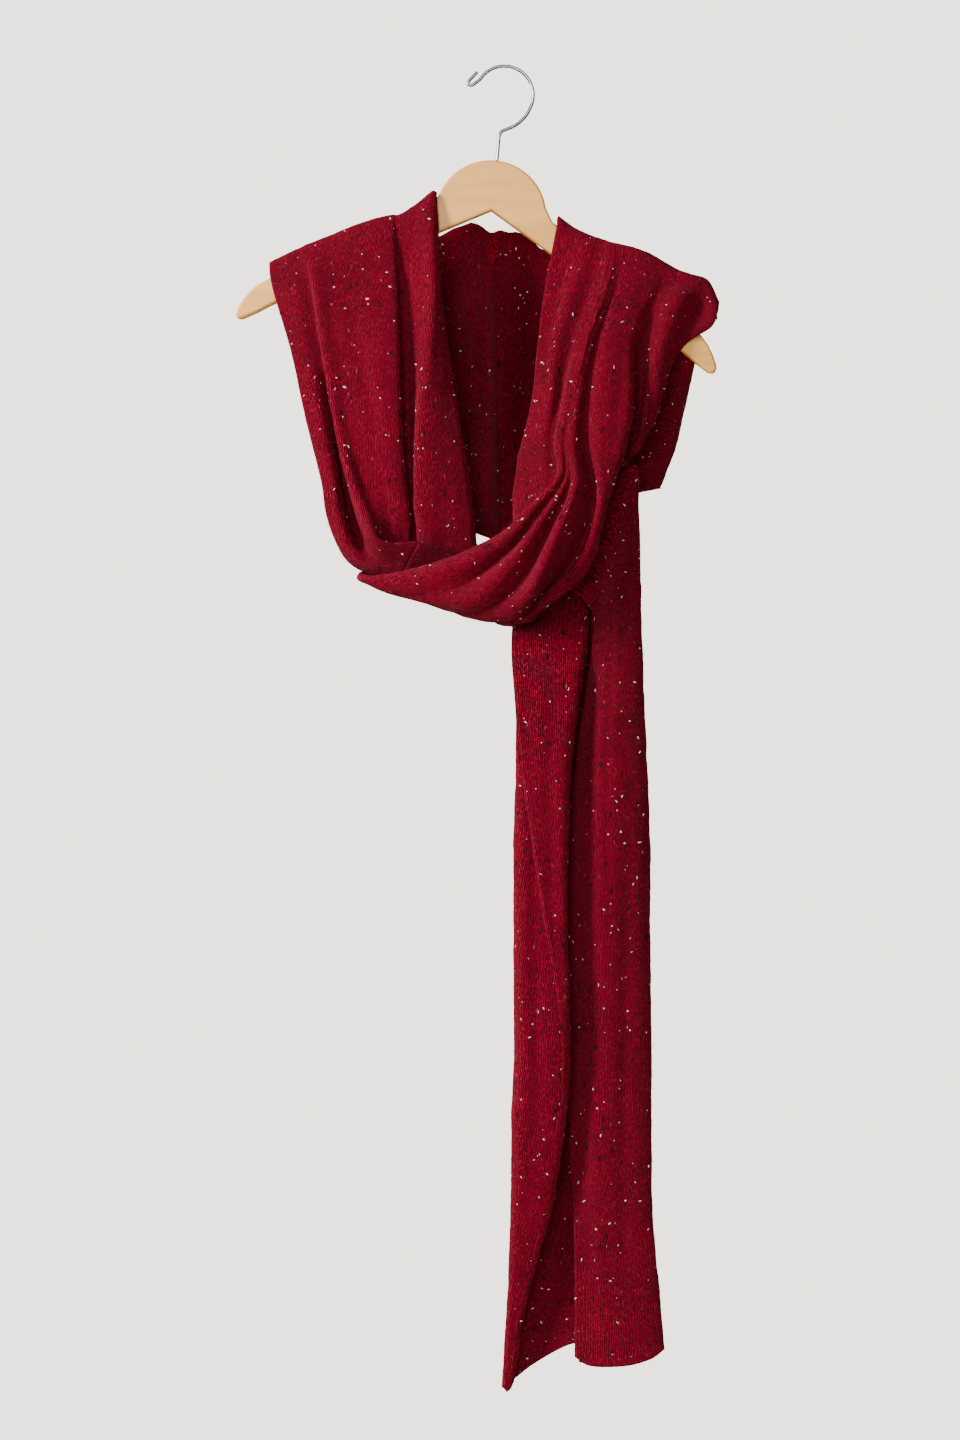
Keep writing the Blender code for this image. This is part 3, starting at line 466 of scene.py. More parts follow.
def over_sections(folds, top_line):
    """The back of a strand, its line over the top of the hanger and its brow."""
    top = [(fold.over, height_on(top_line, fold.over), 0.0) for fold in folds]
    brow = [(between(fold.over, fold.shoulder[0], BROW_IN), p[1] + BROW,
             max(BROW_OUT - 1.0, BROW_OUT + 0.3 * (fold.shoulder[1] - 13.0)))
            for fold, p in zip(folds, top)]
    middle = (top[0][0] + top[-1][0]) / 2
    reach = max(abs(p[0]) for p in top) - abs(middle)
    back = [p[1] + BACK_BELOW_TOP * (1.0 - BACK_RISE * max((abs(p[0]) - abs(middle)) / reach, 0.0) ** 3)
            for p in top]
    return [[(p[0], drop, BACK_OUT) for p, drop in zip(top, back)],
            [(p[0], p[1] + BROW, BACK_OUT) for p in top],
            [(p[0], p[1] + ROUND_DROP * BROW, BACK_OUT * ROUND_BACK) for p in top],
            top,
            [(between(p[0], q[0], 0.5), p[1] + ROUND_DROP * BROW, q[2] * ROUND_FRONT)
             for p, q in zip(top, brow)],
            brow]


def level_sections(folds, drops, top_line):
    """Sections at level drops, none closer than LEVEL_BELOW_TOP under the hanger's top."""
    return [[(getattr(fold, field)[0],
              max(drop, height_on(top_line, fold.over) + LEVEL_BELOW_TOP),
              getattr(fold, field)[1])
             for fold in folds] for field, drop in zip(LEVELS, drops)]


def right_sections():
    """Fold lines of the right strand, from behind the hanger to under the knot."""
    folds = RIGHT_FOLDS
    rough = over_sections(folds, RIGHT_TOP_LINE)
    rough += level_sections(folds, FRONT_DROPS, RIGHT_TOP_LINE)
    for field, angle in zip(("high", "mid", "low"), SWING_ANGLES):
        rough.append([swung(angle, *getattr(fold, field)) for fold in folds])
    rough.append([swung(*fold.run) for fold in folds])
    rough += [[fold.turn for fold in folds], [fold.back for fold in folds]]
    return np.array(rough, float)


def right_tail_sections():
    """Sections of the right strand from behind the knot down to its hem."""
    fine = []
    for low, high, front, step in RIGHT_WRAP:
        turns = [between(Vector(low), Vector(high), share) for share in WRAP_SHARES]
        outs = [front - step * layer for layer in (3, 2, 1, 0)]
        fine.append(folded_section(FRONT_TAIL_LINES, turns, [(out, out) for out in outs]))
    for row in FRONT_TAIL:
        outs = (row.out_back - RETURN_STEP, row.out_back, row.out_mid, row.out_front)
        fine.append(folded_section(
            FRONT_TAIL_LINES,
            [(across, row.drop) for across in (row.end, row.far, row.left, row.right, row.edge)],
            [(out, out) for out in outs]))
    return hemmed(fine, FRONT_HEM)


def left_sections():
    """Fold lines of the left strand, from behind the hanger to under the right one."""
    folds = LEFT_FOLDS
    rough = over_sections(folds, LEFT_TOP_LINE)
    rough += level_sections(folds, LEFT_DROPS, LEFT_TOP_LINE)
    rough += [[fold.turn for fold in folds], [fold.under for fold in folds]]
    return np.array(rough, float)


def left_tail_sections():
    """Sections of the left strand from under the right one down to its hem."""
    under = through(np.array([fold.under for fold in LEFT_FOLDS], float),
                    np.linspace(0, len(LEFT_FOLDS) - 1, BACK_TAIL_LINES[-1] + 1))
    fine = [under.tolist()]
    fine += [folded_section(BACK_TAIL_LINES, row.turns, row.outs) for row in LEFT_PASS]
    for row in BACK_TAIL:
        outs = [row.out_front - BACK_LAYER * layer for layer in range(3)]
        strip = folded_section(
            BACK_TAIL_LINES,
            ((row.left, row.drop_left), (row.right, row.drop_right),
             (row.under, row.drop_left), (row.right - UNDER_IN, row.drop_right)),
            [(out, out) for out in outs])
        for step, share in enumerate(FALL_SHARES):
            strip[step] = (*strip[step][:2], outs[0] - row.fall * share)
        reach = row.right - BEND_START
        fine.append([(x, drop, out - row.bend * max((x - BEND_START) / reach, 0.0) ** BEND_CURVE)
                     for x, drop, out in strip])
    return hemmed(fine, BACK_HEM)


def hemmed(sections, hem):
    """Sections of a tail, of which the last follows its hem."""
    sections[-1] = [(x, height_on(hem, x), out) for x, _, out in sections[-1]]
    return np.array(sections, float)


# ---- creases

# Soft troughs and ridges in the cloth, beyond the folds above. line: the fold line it runs
# along, where it starts and where it ends. part: the sections it starts and ends at.
# depth: how far its middle is pressed in, or stands out where negative, and half its width.
Crease = namedtuple("Crease", "line part depth width")
RIGHT_CREASES = [Crease(*row) for row in (
    ((10.2, 10.0), (6.6, 14.6), 5.0, 4.6),
    ((8.0, 8.0), (7.4, 14.2), 4.2, 4.0),
    ((6.1, 6.0), (7.6, 13.8), 3.4, 3.6),
    ((3.0, 3.2), (5.8, 12.4), 3.6, 4.2),
    ((14.2, 14.0), (6.4, 12.6), 4.4, 5.4),
    ((16.2, 15.8), (5.6, 11.4), 2.6, 5.0),
    ((9.0, 9.0), (7.8, 13.6), -1.7, 4.4),
    ((11.0, 11.2), (8.2, 12.8), -1.7, 4.0),
    ((12.6, 12.0), (6.6, 9.4), 1.6, 6.5),
    ((13.6, 12.8), (8.8, 11.8), 1.5, 5.0),
    ((9.6, 8.6), (11.4, 13.9), 1.6, 3.4),
    ((5.0, 7.0), (12.6, 14.4), 1.8, 4.0),
    ((1.4, 2.0), (6.2, 9.6), 1.7, 4.6),
    ((13.0, 14.6), (4.8, 6.4), 1.2, 7.0),
)]
LEFT_CREASES = [Crease(*row) for row in (
    ((2.0, 2.1), (7.2, 12.0), 3.6, 4.8),
    ((3.1, 3.4), (7.6, 11.6), -1.4, 4.0),
    ((8.4, 8.2), (5.6, 11.6), 3.2, 4.6),
    ((5.6, 4.6), (8.6, 11.4), 1.6, 6.0),
    ((4.6, 5.4), (5.8, 8.8), 1.3, 7.5),
    ((6.6, 5.6), (9.8, 11.9), 1.5, 5.0),
    ((12.2, 11.8), (7.4, 11.6), 1.8, 3.8),
    ((11.0, 10.9), (6.0, 10.8), -1.3, 4.2),
    ((12.6, 12.7), (5.4, 10.6), 1.2, 3.0),
)]
FRONT_TAIL_CREASES = [Crease(*row) for row in (
    ((25.0, 24.2), (6.2, 12.5), 1.7, 6.0),
    ((28.4, 30.2), (5.6, 9.4), 1.6, 5.0),
    ((31.6, 30.6), (7.8, 14.0), 1.5, 6.5),
    ((27.2, 26.4), (10.0, 16.6), 1.4, 7.0),
    ((23.6, 24.4), (12.8, 17.0), -1.2, 5.0),
    ((32.9, 32.6), (6.4, 17.0), 1.5, 3.2),
    ((15.0, 17.0), (8.0, 14.0), 1.4, 6.0),
    ((7.0, 6.0), (9.0, 15.0), 1.4, 6.0),
)]
BACK_TAIL_CREASES = [Crease(*row) for row in (
    ((3.2, 4.0), (4.6, 9.6), 1.6, 5.5),
    ((6.0, 5.0), (7.4, 13.2), 1.4, 6.0),
    ((2.2, 2.6), (9.8, 14.0), -1.2, 5.0),
    ((12.0, 13.0), (6.0, 12.0), 1.4, 6.0),
    ((21.0, 20.0), (7.0, 13.0), 1.4, 6.0),
)]
CREASE_TAPER = 0.7           # power of the way that a crease runs out to its ends
RIPPLES = ((1.0, 0.045, (0, 0, 0)),          # share, waves for each mm, and where they start
           (0.5, 0.11, (9, 3, 5)), (0.35, 0.27, (1, 7, 2)))


def creased(sections, net, creases, cell):
    """The net with creases pressed into it, along the fold lines of its sections."""
    rows = even_places(lengths(sections, 0), cell)
    columns = even_places(lengths(sections, 1), cell)
    across = arc_across(net)
    push = np.zeros(net.shape[:2])
    for crease in creases:
        first, last = crease.part
        for index, place in enumerate(rows):
            share = (place - first) / (last - first)
            if 0.0 < share < 1.0:
                middle = np.interp(between(*crease.line, share), columns, across[index])
                taper = math.sin(math.pi * share) ** CREASE_TAPER
                push[index] -= crease.depth * taper * np.exp(
                    -((across[index] - middle) / crease.width) ** 2)
    return net + normals_of(net) * push[..., None]


# ---- nets: (rows down the strip, columns across it, 3) in mm

def lengths(net, axis):
    """Mean distance from each row, or column, to the next."""
    step = np.linalg.norm(np.diff(net, axis=axis), axis=-1)
    return step.mean(axis=1 - axis)


def arc_across(net):
    """How far across the strip each point lies, along the cloth."""
    step = np.linalg.norm(np.diff(net, axis=1), axis=-1)
    return np.concatenate([np.zeros((len(net), 1)), np.cumsum(step, axis=1)], axis=1)


def split_places(counts):
    """Places 0, 1, 2 ... with each gap between them split into its own count of parts."""
    found = [np.zeros(1)]
    for index, count in enumerate(counts):
        found.append(index + np.arange(1, count + 1) / count)
    return np.concatenate(found)


def even_places(steps, cell):
    """Places 0, 1, 2 ... with as many between them as the length of each gap needs."""
    return split_places([max(1, round(length / cell)) for length in steps])


def fine_net(sections, creases, cell):
    """Dense net through the sections, with faces about a cell long, and its creases."""
    wide = through(sections.transpose(1, 0, 2), even_places(lengths(sections, 1), cell))
    net = through(wide.transpose(1, 0, 2), even_places(lengths(sections, 0), cell))
    return creased(sections, net, creases, cell)


def flat_map(net, width, fan):
    """Where each point lies on the flat strip, in metres: across by arc length, and down."""
    across = arc_across(net)
    across = across / across[:, -1:] * width
    down = np.concatenate([[0.0], np.cumsum(lengths(net, 0))]) * MM
    down = np.broadcast_to(down[:, None], across.shape)
    side = np.sign(np.arange(net.shape[1]) - (net.shape[1] - 1) / 2)
    return np.stack([across - fan * down * side, down], axis=-1)


def normals_of(net):
    """Unit normals of a net of points."""
    found = np.cross(np.gradient(net, axis=1), np.gradient(net, axis=0))
    return found / np.maximum(np.linalg.norm(found, axis=-1, keepdims=True), 1e-9)


def rippled(net, height):
    """The net with the small unevenness of a soft knit, in its own thickness direction."""
    push = np.empty(net.shape[:2])
    for place in np.ndindex(push.shape):
        p = Vector(net[place])
        push[place] = sum(share * noise.noise(p * scale + Vector(start))
                          for share, scale, start in RIPPLES)
    return net + normals_of(net) * (push * height / MM)[..., None]


def to_world(net):
    """Metres in the row frame from across, drop and out in millimetres."""
    return np.stack([net[..., 0], -net[..., 2], -net[..., 1]], axis=-1) * MM


# ---- meshes and objects

def grid_mesh(name, net, flat):
    """Mesh through a net of points, with its flat cut as UV map."""
    rows, columns = net.shape[0] - 1, net.shape[1] - 1
    shape = bmesh.new()
    bmesh.ops.create_grid(shape, x_segments=columns, y_segments=rows, size=0.5)
    mesh = bpy.data.meshes.new(name)
    shape.to_mesh(mesh)
    shape.free()
    places = np.empty(len(mesh.vertices) * 3)
    mesh.vertices.foreach_get("co", places)
    places = places.reshape(-1, 3)
    column = np.rint((places[:, 0] + 0.5) * columns).astype(int)
    row = np.rint((places[:, 1] + 0.5) * rows).astype(int)
    mesh.vertices.foreach_set("co", to_world(net[row, column]).ravel())
    corners = np.empty(len(mesh.loops), np.int32)
    mesh.loops.foreach_get("vertex_index", corners)
    mesh.uv_layers.new(name="flat").data.foreach_set("uv", flat[row, column][corners].ravel())
    mesh.update()
    return mesh


def welded(mesh, near):
    """The mesh with points joined that lie near each other, and its faces outwards."""
    shape = bmesh.new()
    shape.from_mesh(mesh)
    bmesh.ops.remove_doubles(shape, verts=shape.verts, dist=near)
    bmesh.ops.recalc_face_normals(shape, faces=shape.faces)
    shape.to_mesh(mesh)
    shape.free()
    return mesh


def add_object(name, data):
    """A new object in the scene."""
    made = bpy.data.objects.new(name, data)
    bpy.context.scene.collection.objects.link(made)
    return made


def curve_mesh(name, points, closed, **settings):
    """Mesh of a curve through points, in metres, that has these settings."""
    curve = bpy.data.curves.new(name, "CURVE")
    for setting, value in settings.items():
        setattr(curve, setting, value)
    line = curve.splines.new("POLY")
    line.points.add(len(points) - 1)
    for point, place in zip(line.points, points):
        point.co = (*place, 1.0)
    line.use_cyclic_u = closed
    rough = add_object(name, curve)
    mesh = bpy.data.meshes.new_from_object(
        rough.evaluated_get(bpy.context.evaluated_depsgraph_get()))
    bpy.data.objects.remove(rough)
    mesh.materials.clear()
    return mesh


def add_piece(name, mesh, material, nodes=()):
    """A piece of the object that rides on the body, and stands for the nodes."""
    piece = add_object(name, mesh)
    mesh.materials.append(material)
    mesh.shade_smooth()
    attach(piece, BODY)
    if nodes:
        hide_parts(*nodes)
    return piece


def add_cloth(name, net, width, nodes, fan=0.0):
    """A length of the knitted strip, from its net of points. fan: how far its wales spread."""
    knit = bpy.context.scene.scarf_knit
    net = rippled(net, knit.ripple)
    mesh = grid_mesh(name, net, flat_map(net, width, fan))
    piece = add_piece(name, mesh, knit_material(), nodes)
    wall = piece.modifiers.new("wall", "SOLIDIFY")
    wall.thickness = knit.wall
    wall.offset = 0.0
    wall.use_rim = True
    return piece


# ---- materials

class Tree:
    """Short calls that add nodes to one node tree and link them."""

    def __init__(self, tree):
        self.tree = tree

    def fill(self, sockets, values):
        """Puts values into sockets, or links outputs to them, by name or number."""
        for name, value in values.items():
            if isinstance(value, bpy.types.NodeSocket):
                self.tree.links.new(value, sockets[name])
            else:
                sockets[name].default_value = value

    def node(self, kind, inputs=None, **settings):
        made = self.tree.nodes.new(kind)
        for name, value in settings.items():
            setattr(made, name, value)
        self.fill(made.inputs, inputs or {})
        return made

    def math(self, operation, a, b=0.0, clamp=False):
        return self.node("ShaderNodeMath", {0: a, 1: b}, operation=operation,
                         use_clamp=clamp).outputs[0]

    def plus(self, a, b):
        return self.math("ADD", a, b)

    def minus(self, a, b):
        return self.math("SUBTRACT", a, b)

    def times(self, a, b):
        return self.math("MULTIPLY", a, b)

    def mix(self, share, a, b, blend="MIX"):
        return self.node("ShaderNodeMix", {"Factor": share, "A": a, "B": b}, data_type="RGBA",
                         blend_type=blend).outputs["Result"]

    def ramp(self, value, low, high):
        """0 under low, 1 over high, and smooth between."""
        return self.node("ShaderNodeMapRange", {"Value": value, "From Min": low, "From Max": high},
                         interpolation_type="SMOOTHSTEP").outputs["Result"]

    def noise(self, vector, scale, detail=2.0, rough=0.5):
        return self.node("ShaderNodeTexNoise", {"Vector": vector, "Scale": scale, "Detail": detail,
                                                "Roughness": rough}).outputs["Fac"]

    def mapped(self, vector, scale, turn=0.0):
        """A vector stretched by axis, and turned about Y."""
        return self.node("ShaderNodeMapping", {"Vector": vector, "Rotation": (0.0, turn, 0.0),
                                               "Scale": scale}).outputs["Vector"]

    def bump(self, height, distance, strength):
        return self.node("ShaderNodeBump", {"Height": height, "Distance": distance,
                                            "Strength": strength}).outputs["Normal"]

    def place(self):
        """Where a point lies on the object."""
        return self.node("ShaderNodeTexCoord").outputs["Object"]


def colour(value, strength=1.0):
    """A colour, made lighter or darker, with its alpha."""
    return (*(part * strength for part in value), 1.0)


def new_material(name):
    """A new material, its tree and the inputs of its shader."""
    material = bpy.data.materials.new(name)
    material.use_nodes = True
    tree = material.node_tree
    return material, Tree(tree), tree.nodes["Principled BSDF"].inputs


def new_group(name, inputs, outputs):
    """An empty node group with sockets (name, kind, default), as a Tree with its ends."""
    group = bpy.data.node_groups.new(name, "ShaderNodeTree")
    for label, kind, value in inputs:
        socket = group.interface.new_socket(label, in_out="INPUT", socket_type=kind)
        if value is not None:
            socket.default_value = value
    for label, kind in outputs:
        group.interface.new_socket(label, in_out="OUTPUT", socket_type=kind)
    tree = Tree(group)
    return tree, tree.node("NodeGroupInput").outputs, tree.node("NodeGroupOutput").inputs


def stitch_group():
    """Columns of V-shaped stitches on the flat strip: height, and painted shade in the hollows between
    them.
    """
    if "stockinette" in bpy.data.node_groups:
        return bpy.data.node_groups["stockinette"]
    tree, given, result = new_group(
        "stockinette",
        [("Vector", "NodeSocketVector", None), ("Wale", "NodeSocketFloat", 0.0027),
         ("Course", "NodeSocketFloat", 0.0021)],
        [("Height", "NodeSocketFloat"), ("Gap", "NodeSocketFloat")])

    def off_middle(value):
        """How far a value lies from 0.5, as a share of 0.5."""
        return tree.times(tree.math("ABSOLUTE", tree.minus(value, 0.5)), 2.0)

    def hump(value):
        """1 where a value is 0.5, and round down to 0 where it is 0 or 1."""
        return tree.minus(1.0, tree.math("POWER", off_middle(value), 2.0))

    parts = tree.node("ShaderNodeSeparateXYZ", {"Vector": given["Vector"]}).outputs
    wobble = tree.minus(tree.noise(given["Vector"], 260.0, 1.0), 0.5)
    across = tree.plus(tree.math("DIVIDE", parts["X"], given["Wale"]), tree.times(wobble, 0.45))
    inside = off_middle(tree.math("FRACT", across))
    along = tree.plus(tree.math("DIVIDE", parts["Y"], given["Course"]), tree.times(inside, 0.75))
    yarn = tree.plus(tree.times(hump(tree.math("FRACT", along)), 0.55), 0.45)
    leg = tree.plus(tree.times(hump(inside), 0.8), 0.2)
    height = tree.times(yarn, leg)
    groove = tree.ramp(inside, 0.58, 0.94)
    # The second output is painted shade: 1 on the stitches' tops, falling where they are low and in the
    # grooves between wales.
    tree.fill(result, {
        "Height": tree.minus(height, tree.times(groove, 0.35)),
        "Gap": tree.times(tree.ramp(height, 0.1, 0.55), tree.minus(1.0, tree.times(groove, 0.75)))})
    return tree.tree


def speck_group():
    """Scattered specks of fibre: a mask from cells of which only some are filled."""
    if "specks" in bpy.data.node_groups:
        return bpy.data.node_groups["specks"]
    tree, given, result = new_group(
        "specks",
        [("Vector", "NodeSocketVector", None), ("Scale", "NodeSocketFloat", 150.0),
         ("Share", "NodeSocketFloat", 0.15), ("Size", "NodeSocketFloat", 0.25)],
        [("Mask", "NodeSocketFloat")])
    cells = tree.node("ShaderNodeTexVoronoi", {"Vector": given["Vector"], "Scale": given["Scale"]})
    chance = tree.node("ShaderNodeSeparateColor", {"Color": cells.outputs["Color"]}).outputs[0]
    chosen = tree.math("LESS_THAN", chance, given["Share"])
    near = tree.minus(given["Size"], cells.outputs["Distance"])
    near = tree.math("MULTIPLY", near, 12.0, clamp=True)
    tree.fill(result, {"Mask": tree.times(chosen, near)})
    return tree.tree


def knit_material():
    """Deep red marled wool knit, matt and slightly fuzzy, with painted shade between its stitches."""
    name = "flecked_wool_knit"
    if name in bpy.data.materials:
        return bpy.data.materials[name]
    knit = bpy.context.scene.scarf_knit
    material, tree, shader = new_material(name)
    flat = tree.node("ShaderNodeUVMap", uv_map="flat").outputs["UV"]
    stitch = tree.node("ShaderNodeGroup", {"Vector": flat, "Wale": knit.wale,
                                           "Course": knit.course}, node_tree=stitch_group())
    streaks = tree.mapped(flat, (1.0, 0.45, 1.0))
    marl = tree.noise(streaks, 620.0, 3.0, 0.65)
    patches = tree.noise(flat, 55.0, 3.0, 0.6)
    broad = tree.noise(flat, 14.0, 2.0, 0.5)

    tone = tree.mix(tree.ramp(marl, 0.34, 0.68), colour(knit.red, 0.22), colour(knit.red, 1.42))
    tone = tree.mix(tree.times(tree.ramp(patches, 0.42, 0.62), 0.45), tone, colour(knit.red, 0.55))
    tone = tree.mix(tree.times(tree.ramp(broad, 0.35, 0.65), 0.22), tone, colour(knit.red, 1.35))
    for fibre, scale, share, size, strength in (
            (knit.dark, 170.0, 0.10, 0.30, 0.85), (knit.dark, 330.0, 0.10, 0.34, 0.7),
            (knit.pale, 260.0, 0.035, 0.26, 0.8), (knit.pale, 420.0, 0.05, 0.22, 0.55)):
        specks = tree.node("ShaderNodeGroup", {"Vector": streaks, "Scale": scale, "Share": share,
                                               "Size": size}, node_tree=speck_group())
        tone = tree.mix(tree.times(specks.outputs["Mask"], strength), tone, colour(fibre))
    # Painted shade: the base colour is darkened where the stitches are low and in the grooves between
    # wales.
    shade = tree.plus(tree.times(stitch.outputs["Gap"], 0.86), 0.14)
    shade = tree.node("ShaderNodeCombineColor", {"Red": shade, "Green": shade, "Blue": shade})
    fuzz = tree.noise(flat, 1400.0, 2.0, 0.7)
    height = tree.plus(stitch.outputs["Height"], tree.times(fuzz, 0.6))
    height = tree.plus(height, tree.times(marl, 0.5))
    tree.fill(shader, {"Base Color": tree.mix(1.0, tone, shade.outputs["Color"], "MULTIPLY"),
                       "Normal": tree.bump(height, knit.relief, 1.0),
                       "Roughness": tree.plus(tree.times(marl, 0.15), 0.82),
                       "Specular IOR Level": 0.06, "Sheen Weight": 0.12,
                       "Sheen Roughness": 0.45, "Sheen Tint": (1.0, 0.16, 0.26, 1.0)})
    return material


def fibre_material(name, value, sheen=0.3):
    """Loose wool fibre of one colour, uneven from fleck to fleck."""
    material, tree, shader = new_material(name)
    uneven = tree.ramp(tree.noise(tree.place(), 90.0, 2.0, 0.6), 0.35, 0.65)
    strands = tree.noise(tree.place(), 1800.0, 2.0, 0.6)
    tree.fill(shader, {"Base Color": tree.mix(uneven, colour(value), colour(value, 0.62)),
                       "Normal": tree.bump(strands, 0.0004, 0.8),
                       "Roughness": 0.9, "Sheen Weight": sheen})
    return material


def wood_material():
    """Pale hardwood with fine grain along the arms, clear satin varnish."""
    hanger = bpy.context.scene.scarf_hanger
    material, tree, shader = new_material("pale_hardwood")
    bands = tree.noise(tree.mapped(tree.place(), (5.0, 60.0, 60.0), -TILT), 1.0, 4.0, 0.6)
    pores = tree.noise(tree.mapped(tree.place(), (40.0, 700.0, 700.0), -TILT), 1.0, 3.0, 0.6)
    tone = tree.mix(tree.ramp(bands, 0.38, 0.72), colour(hanger.wood), colour(hanger.grain))
    tone = tree.mix(tree.times(tree.ramp(pores, 0.55, 0.75), 0.35), tone, colour(hanger.grain, 0.7))
    tree.fill(shader, {"Base Color": tone, "Normal": tree.bump(pores, 0.0002, 0.35),
                       "Roughness": tree.plus(tree.times(pores, 0.15), 0.36),
                       "Coat Weight": 0.2, "Coat Roughness": 0.3})
    return material


def wire_material():
    """Bright plated wire."""
    wire = bpy.context.scene.scarf_hanger.wire
    material, tree, shader = new_material("plated_wire")
    worn = tree.noise(tree.place(), 300.0, 3.0, 0.6)
    tree.fill(shader, {"Base Color": tree.mix(tree.ramp(worn, 0.4, 0.7), colour(wire),
                                              colour(wire, 0.82)),
                       "Roughness": tree.plus(tree.times(worn, 0.12), 0.12), "Metallic": 1.0})
    return material


# ---- pieces

def add_strip(name, sections, creases, nodes):
    """A length of the strip between two of its ends, folds or turns."""
    net = fine_net(sections, creases, bpy.context.scene.scarf_knit.cell / MM)
    return add_cloth(name, net, STRIP_WIDTH, nodes)


def build_right_strand():
    """The right strand over the hanger's arm, down and round the front of the knot."""
    piece = add_strip("right_strand", right_sections(), RIGHT_CREASES,
                      ["right_strand_drop"])


def build_right_tail():
    """The right strand's end: round behind the left one, and hanging in front."""
    piece = add_strip("right_tail", right_tail_sections(), FRONT_TAIL_CREASES,
                      ["right_strand_wrap", "right_tail_front"])


def build_left_strand():
    """The left strand over the hanger's arm and down into the knot."""
    piece = add_strip("left_strand", left_sections(), LEFT_CREASES,
                      ["left_strand_drop"])


def build_left_tail():
    """The left strand's end: out under the right one, and hanging behind."""
    piece = add_strip("left_tail", left_tail_sections(), BACK_TAIL_CREASES,
                      ["left_strand_pass", "left_tail_back"])


def fading(net, deep):
    """1 at the first row of a net, down to 0 a share of the way down, and 0 below."""
    return np.clip(1.0 - np.arange(len(net)) / (deep * len(net)), 0.0, 1.0)


def fit_to_strands(net, half):
    """Brings the hood's sides up or down to where the strands end behind the hanger."""
    for line, near in ((LEFT_TOP_LINE, range(half // 2)),
                       (RIGHT_TOP_LINE, range(2 * half - half // 2 + 1, 2 * half + 1))):
        for i in near:
            top = height_on(line, net[0, i, 0]) + BACK_BELOW_TOP + HOOD_GAP
            net[:, i, 1] += (top - net[0, i, 1]) * fading(net, TOP_DEEP)


def wave_nape(net, half):
    """Small waves in the nape's rolled edge, between the sides."""
    nape = slice(half // 2 + 2, 2 * half - half // 2 - 1)
    across = net[0, nape, 0]
    wave = NAPE_WAVE * (np.sin(across / NAPE_LENGTHS[0])
                        + 0.7 * np.sin(across / NAPE_LENGTHS[1] + 1.0))
    net[:, nape, 1] += fading(net, NAPE_DEEP)[:, None] * wave


def close_crown(net, half):
    """Brings the front and back of the hood together at the crown."""
    last = len(net) - 1
    share = np.clip((np.arange(last + 1) / last - CROWN_START) / CROWN_DEEP, 0.0, 1.0) ** 2
    for i in range(1, half // 2 + 1):
        for near, far in ((i, half - i), (2 * half - i, half + i)):
            middle = between(net[-1, near], net[-1, far], 0.5)
            for side in (near, far):
                net[:, side] += share[:, None] * (middle - net[-1, side])
    for end, way in ((0, -1.0), (-1, 1.0)):
        net[-1, end] = net[-1, half] + (way * CROWN_CORNER[0], *CROWN_CORNER[1:])


def hood_net(cell):
    """The hood: face edge, side, back seam, side, face edge, closed at the crown."""
    fine = max(1, round(HOOD_STEP / cell))
    columns = split_places([line.steps * fine for line in HOOD_LINES[:-1]])
    levels = np.array([[getattr(line, field) for line in HOOD_LINES]
                       for field in ("top", "chest", "low", "crown")], float)
    wide = through(levels.transpose(1, 0, 2), columns).transpose(1, 0, 2)
    net = through(wide, even_places(HOOD_ROWS, cell))
    half = (len(columns) - 1) // 2
    for shape in (fit_to_strands, wave_nape, close_crown):
        shape(net, half)
    return net


def build_hood():
    """The hood, hanging open behind the hanger."""
    net = hood_net(bpy.context.scene.scarf_knit.cell / MM)
    piece = add_cloth("hood_cloth", net, HOOD_LENGTH, ["hood"], HOOD_FAN)
    welded(piece.data, 0.0001)


def hanger_point(across, drop):
    """A point of the hanger's own frame, tilted about the top of its dome, in metres."""
    return ((DOME_TOP[0] + across * math.cos(TILT) - drop * math.sin(TILT)) * MM,
            -(DOME_TOP[1] + across * math.sin(TILT) + drop * math.cos(TILT)) * MM, 0.0)


def hanger_outline():
    """Outline of the hanger, clockwise from the middle of its dome."""
    dome = [(DOME_RADIUS * math.sin(math.radians(a)),
             DOME_RADIUS * (1 - math.cos(math.radians(a)))) for a in range(0, 76, 5)]
    arm = [(NECK_HALF, NECK_DROP), ARM_MIDDLE, (SHOULDER_HALF, SHOULDER_DROP)]
    under = [(across, NOTCH_DROP + UNDER_SLOPE * across + more) for across, more in UNDER_EDGE]
    half = [*dome, *arm, *TIP_ROUND, *under]
    other = [(-x, drop) for x, drop in reversed(half) if x > 0.01]
    return half + [(0.0, NOTCH_DROP)] + other


def build_hanger():
    """The wooden hanger: a flat outline with softly rounded edges."""
    mesh = curve_mesh("hanger_outline", [hanger_point(*place) for place in hanger_outline()],
                      True, dimensions="2D", fill_mode="BOTH",
                      extrude=(HANGER_WOOD / 2 - WOOD_ROUND) * MM, bevel_depth=WOOD_ROUND * MM,
                      bevel_resolution=4, offset=-WOOD_ROUND * MM)
    mesh.transform(Matrix.Rotation(math.pi / 2, 4, "X"))
    piece = add_piece("wooden_hanger", welded(mesh, 1e-6), wood_material(),
                      ["hanger_wood"])
    piece.modifiers.new("weighted", "WEIGHTED_NORMAL").keep_sharp = True


def hook_route():
    """Middle of the hook's wire, from its free end round to the hanger."""
    bow = []
    for turn in np.arange(HOOK_START, HOOK_END + 0.1, HOOK_STEP):
        angle = math.radians(turn)
        bow.append((HOOK_CENTRE[0] + HOOK_RADIUS * math.cos(angle),
                    HOOK_CENTRE[1] + HOOK_RADIUS * math.sin(angle)))
    return [*HOOK_TIP, *bow, *HOOK_STEM, (DOME_TOP[0], DOME_TOP[1] + 1.0)]


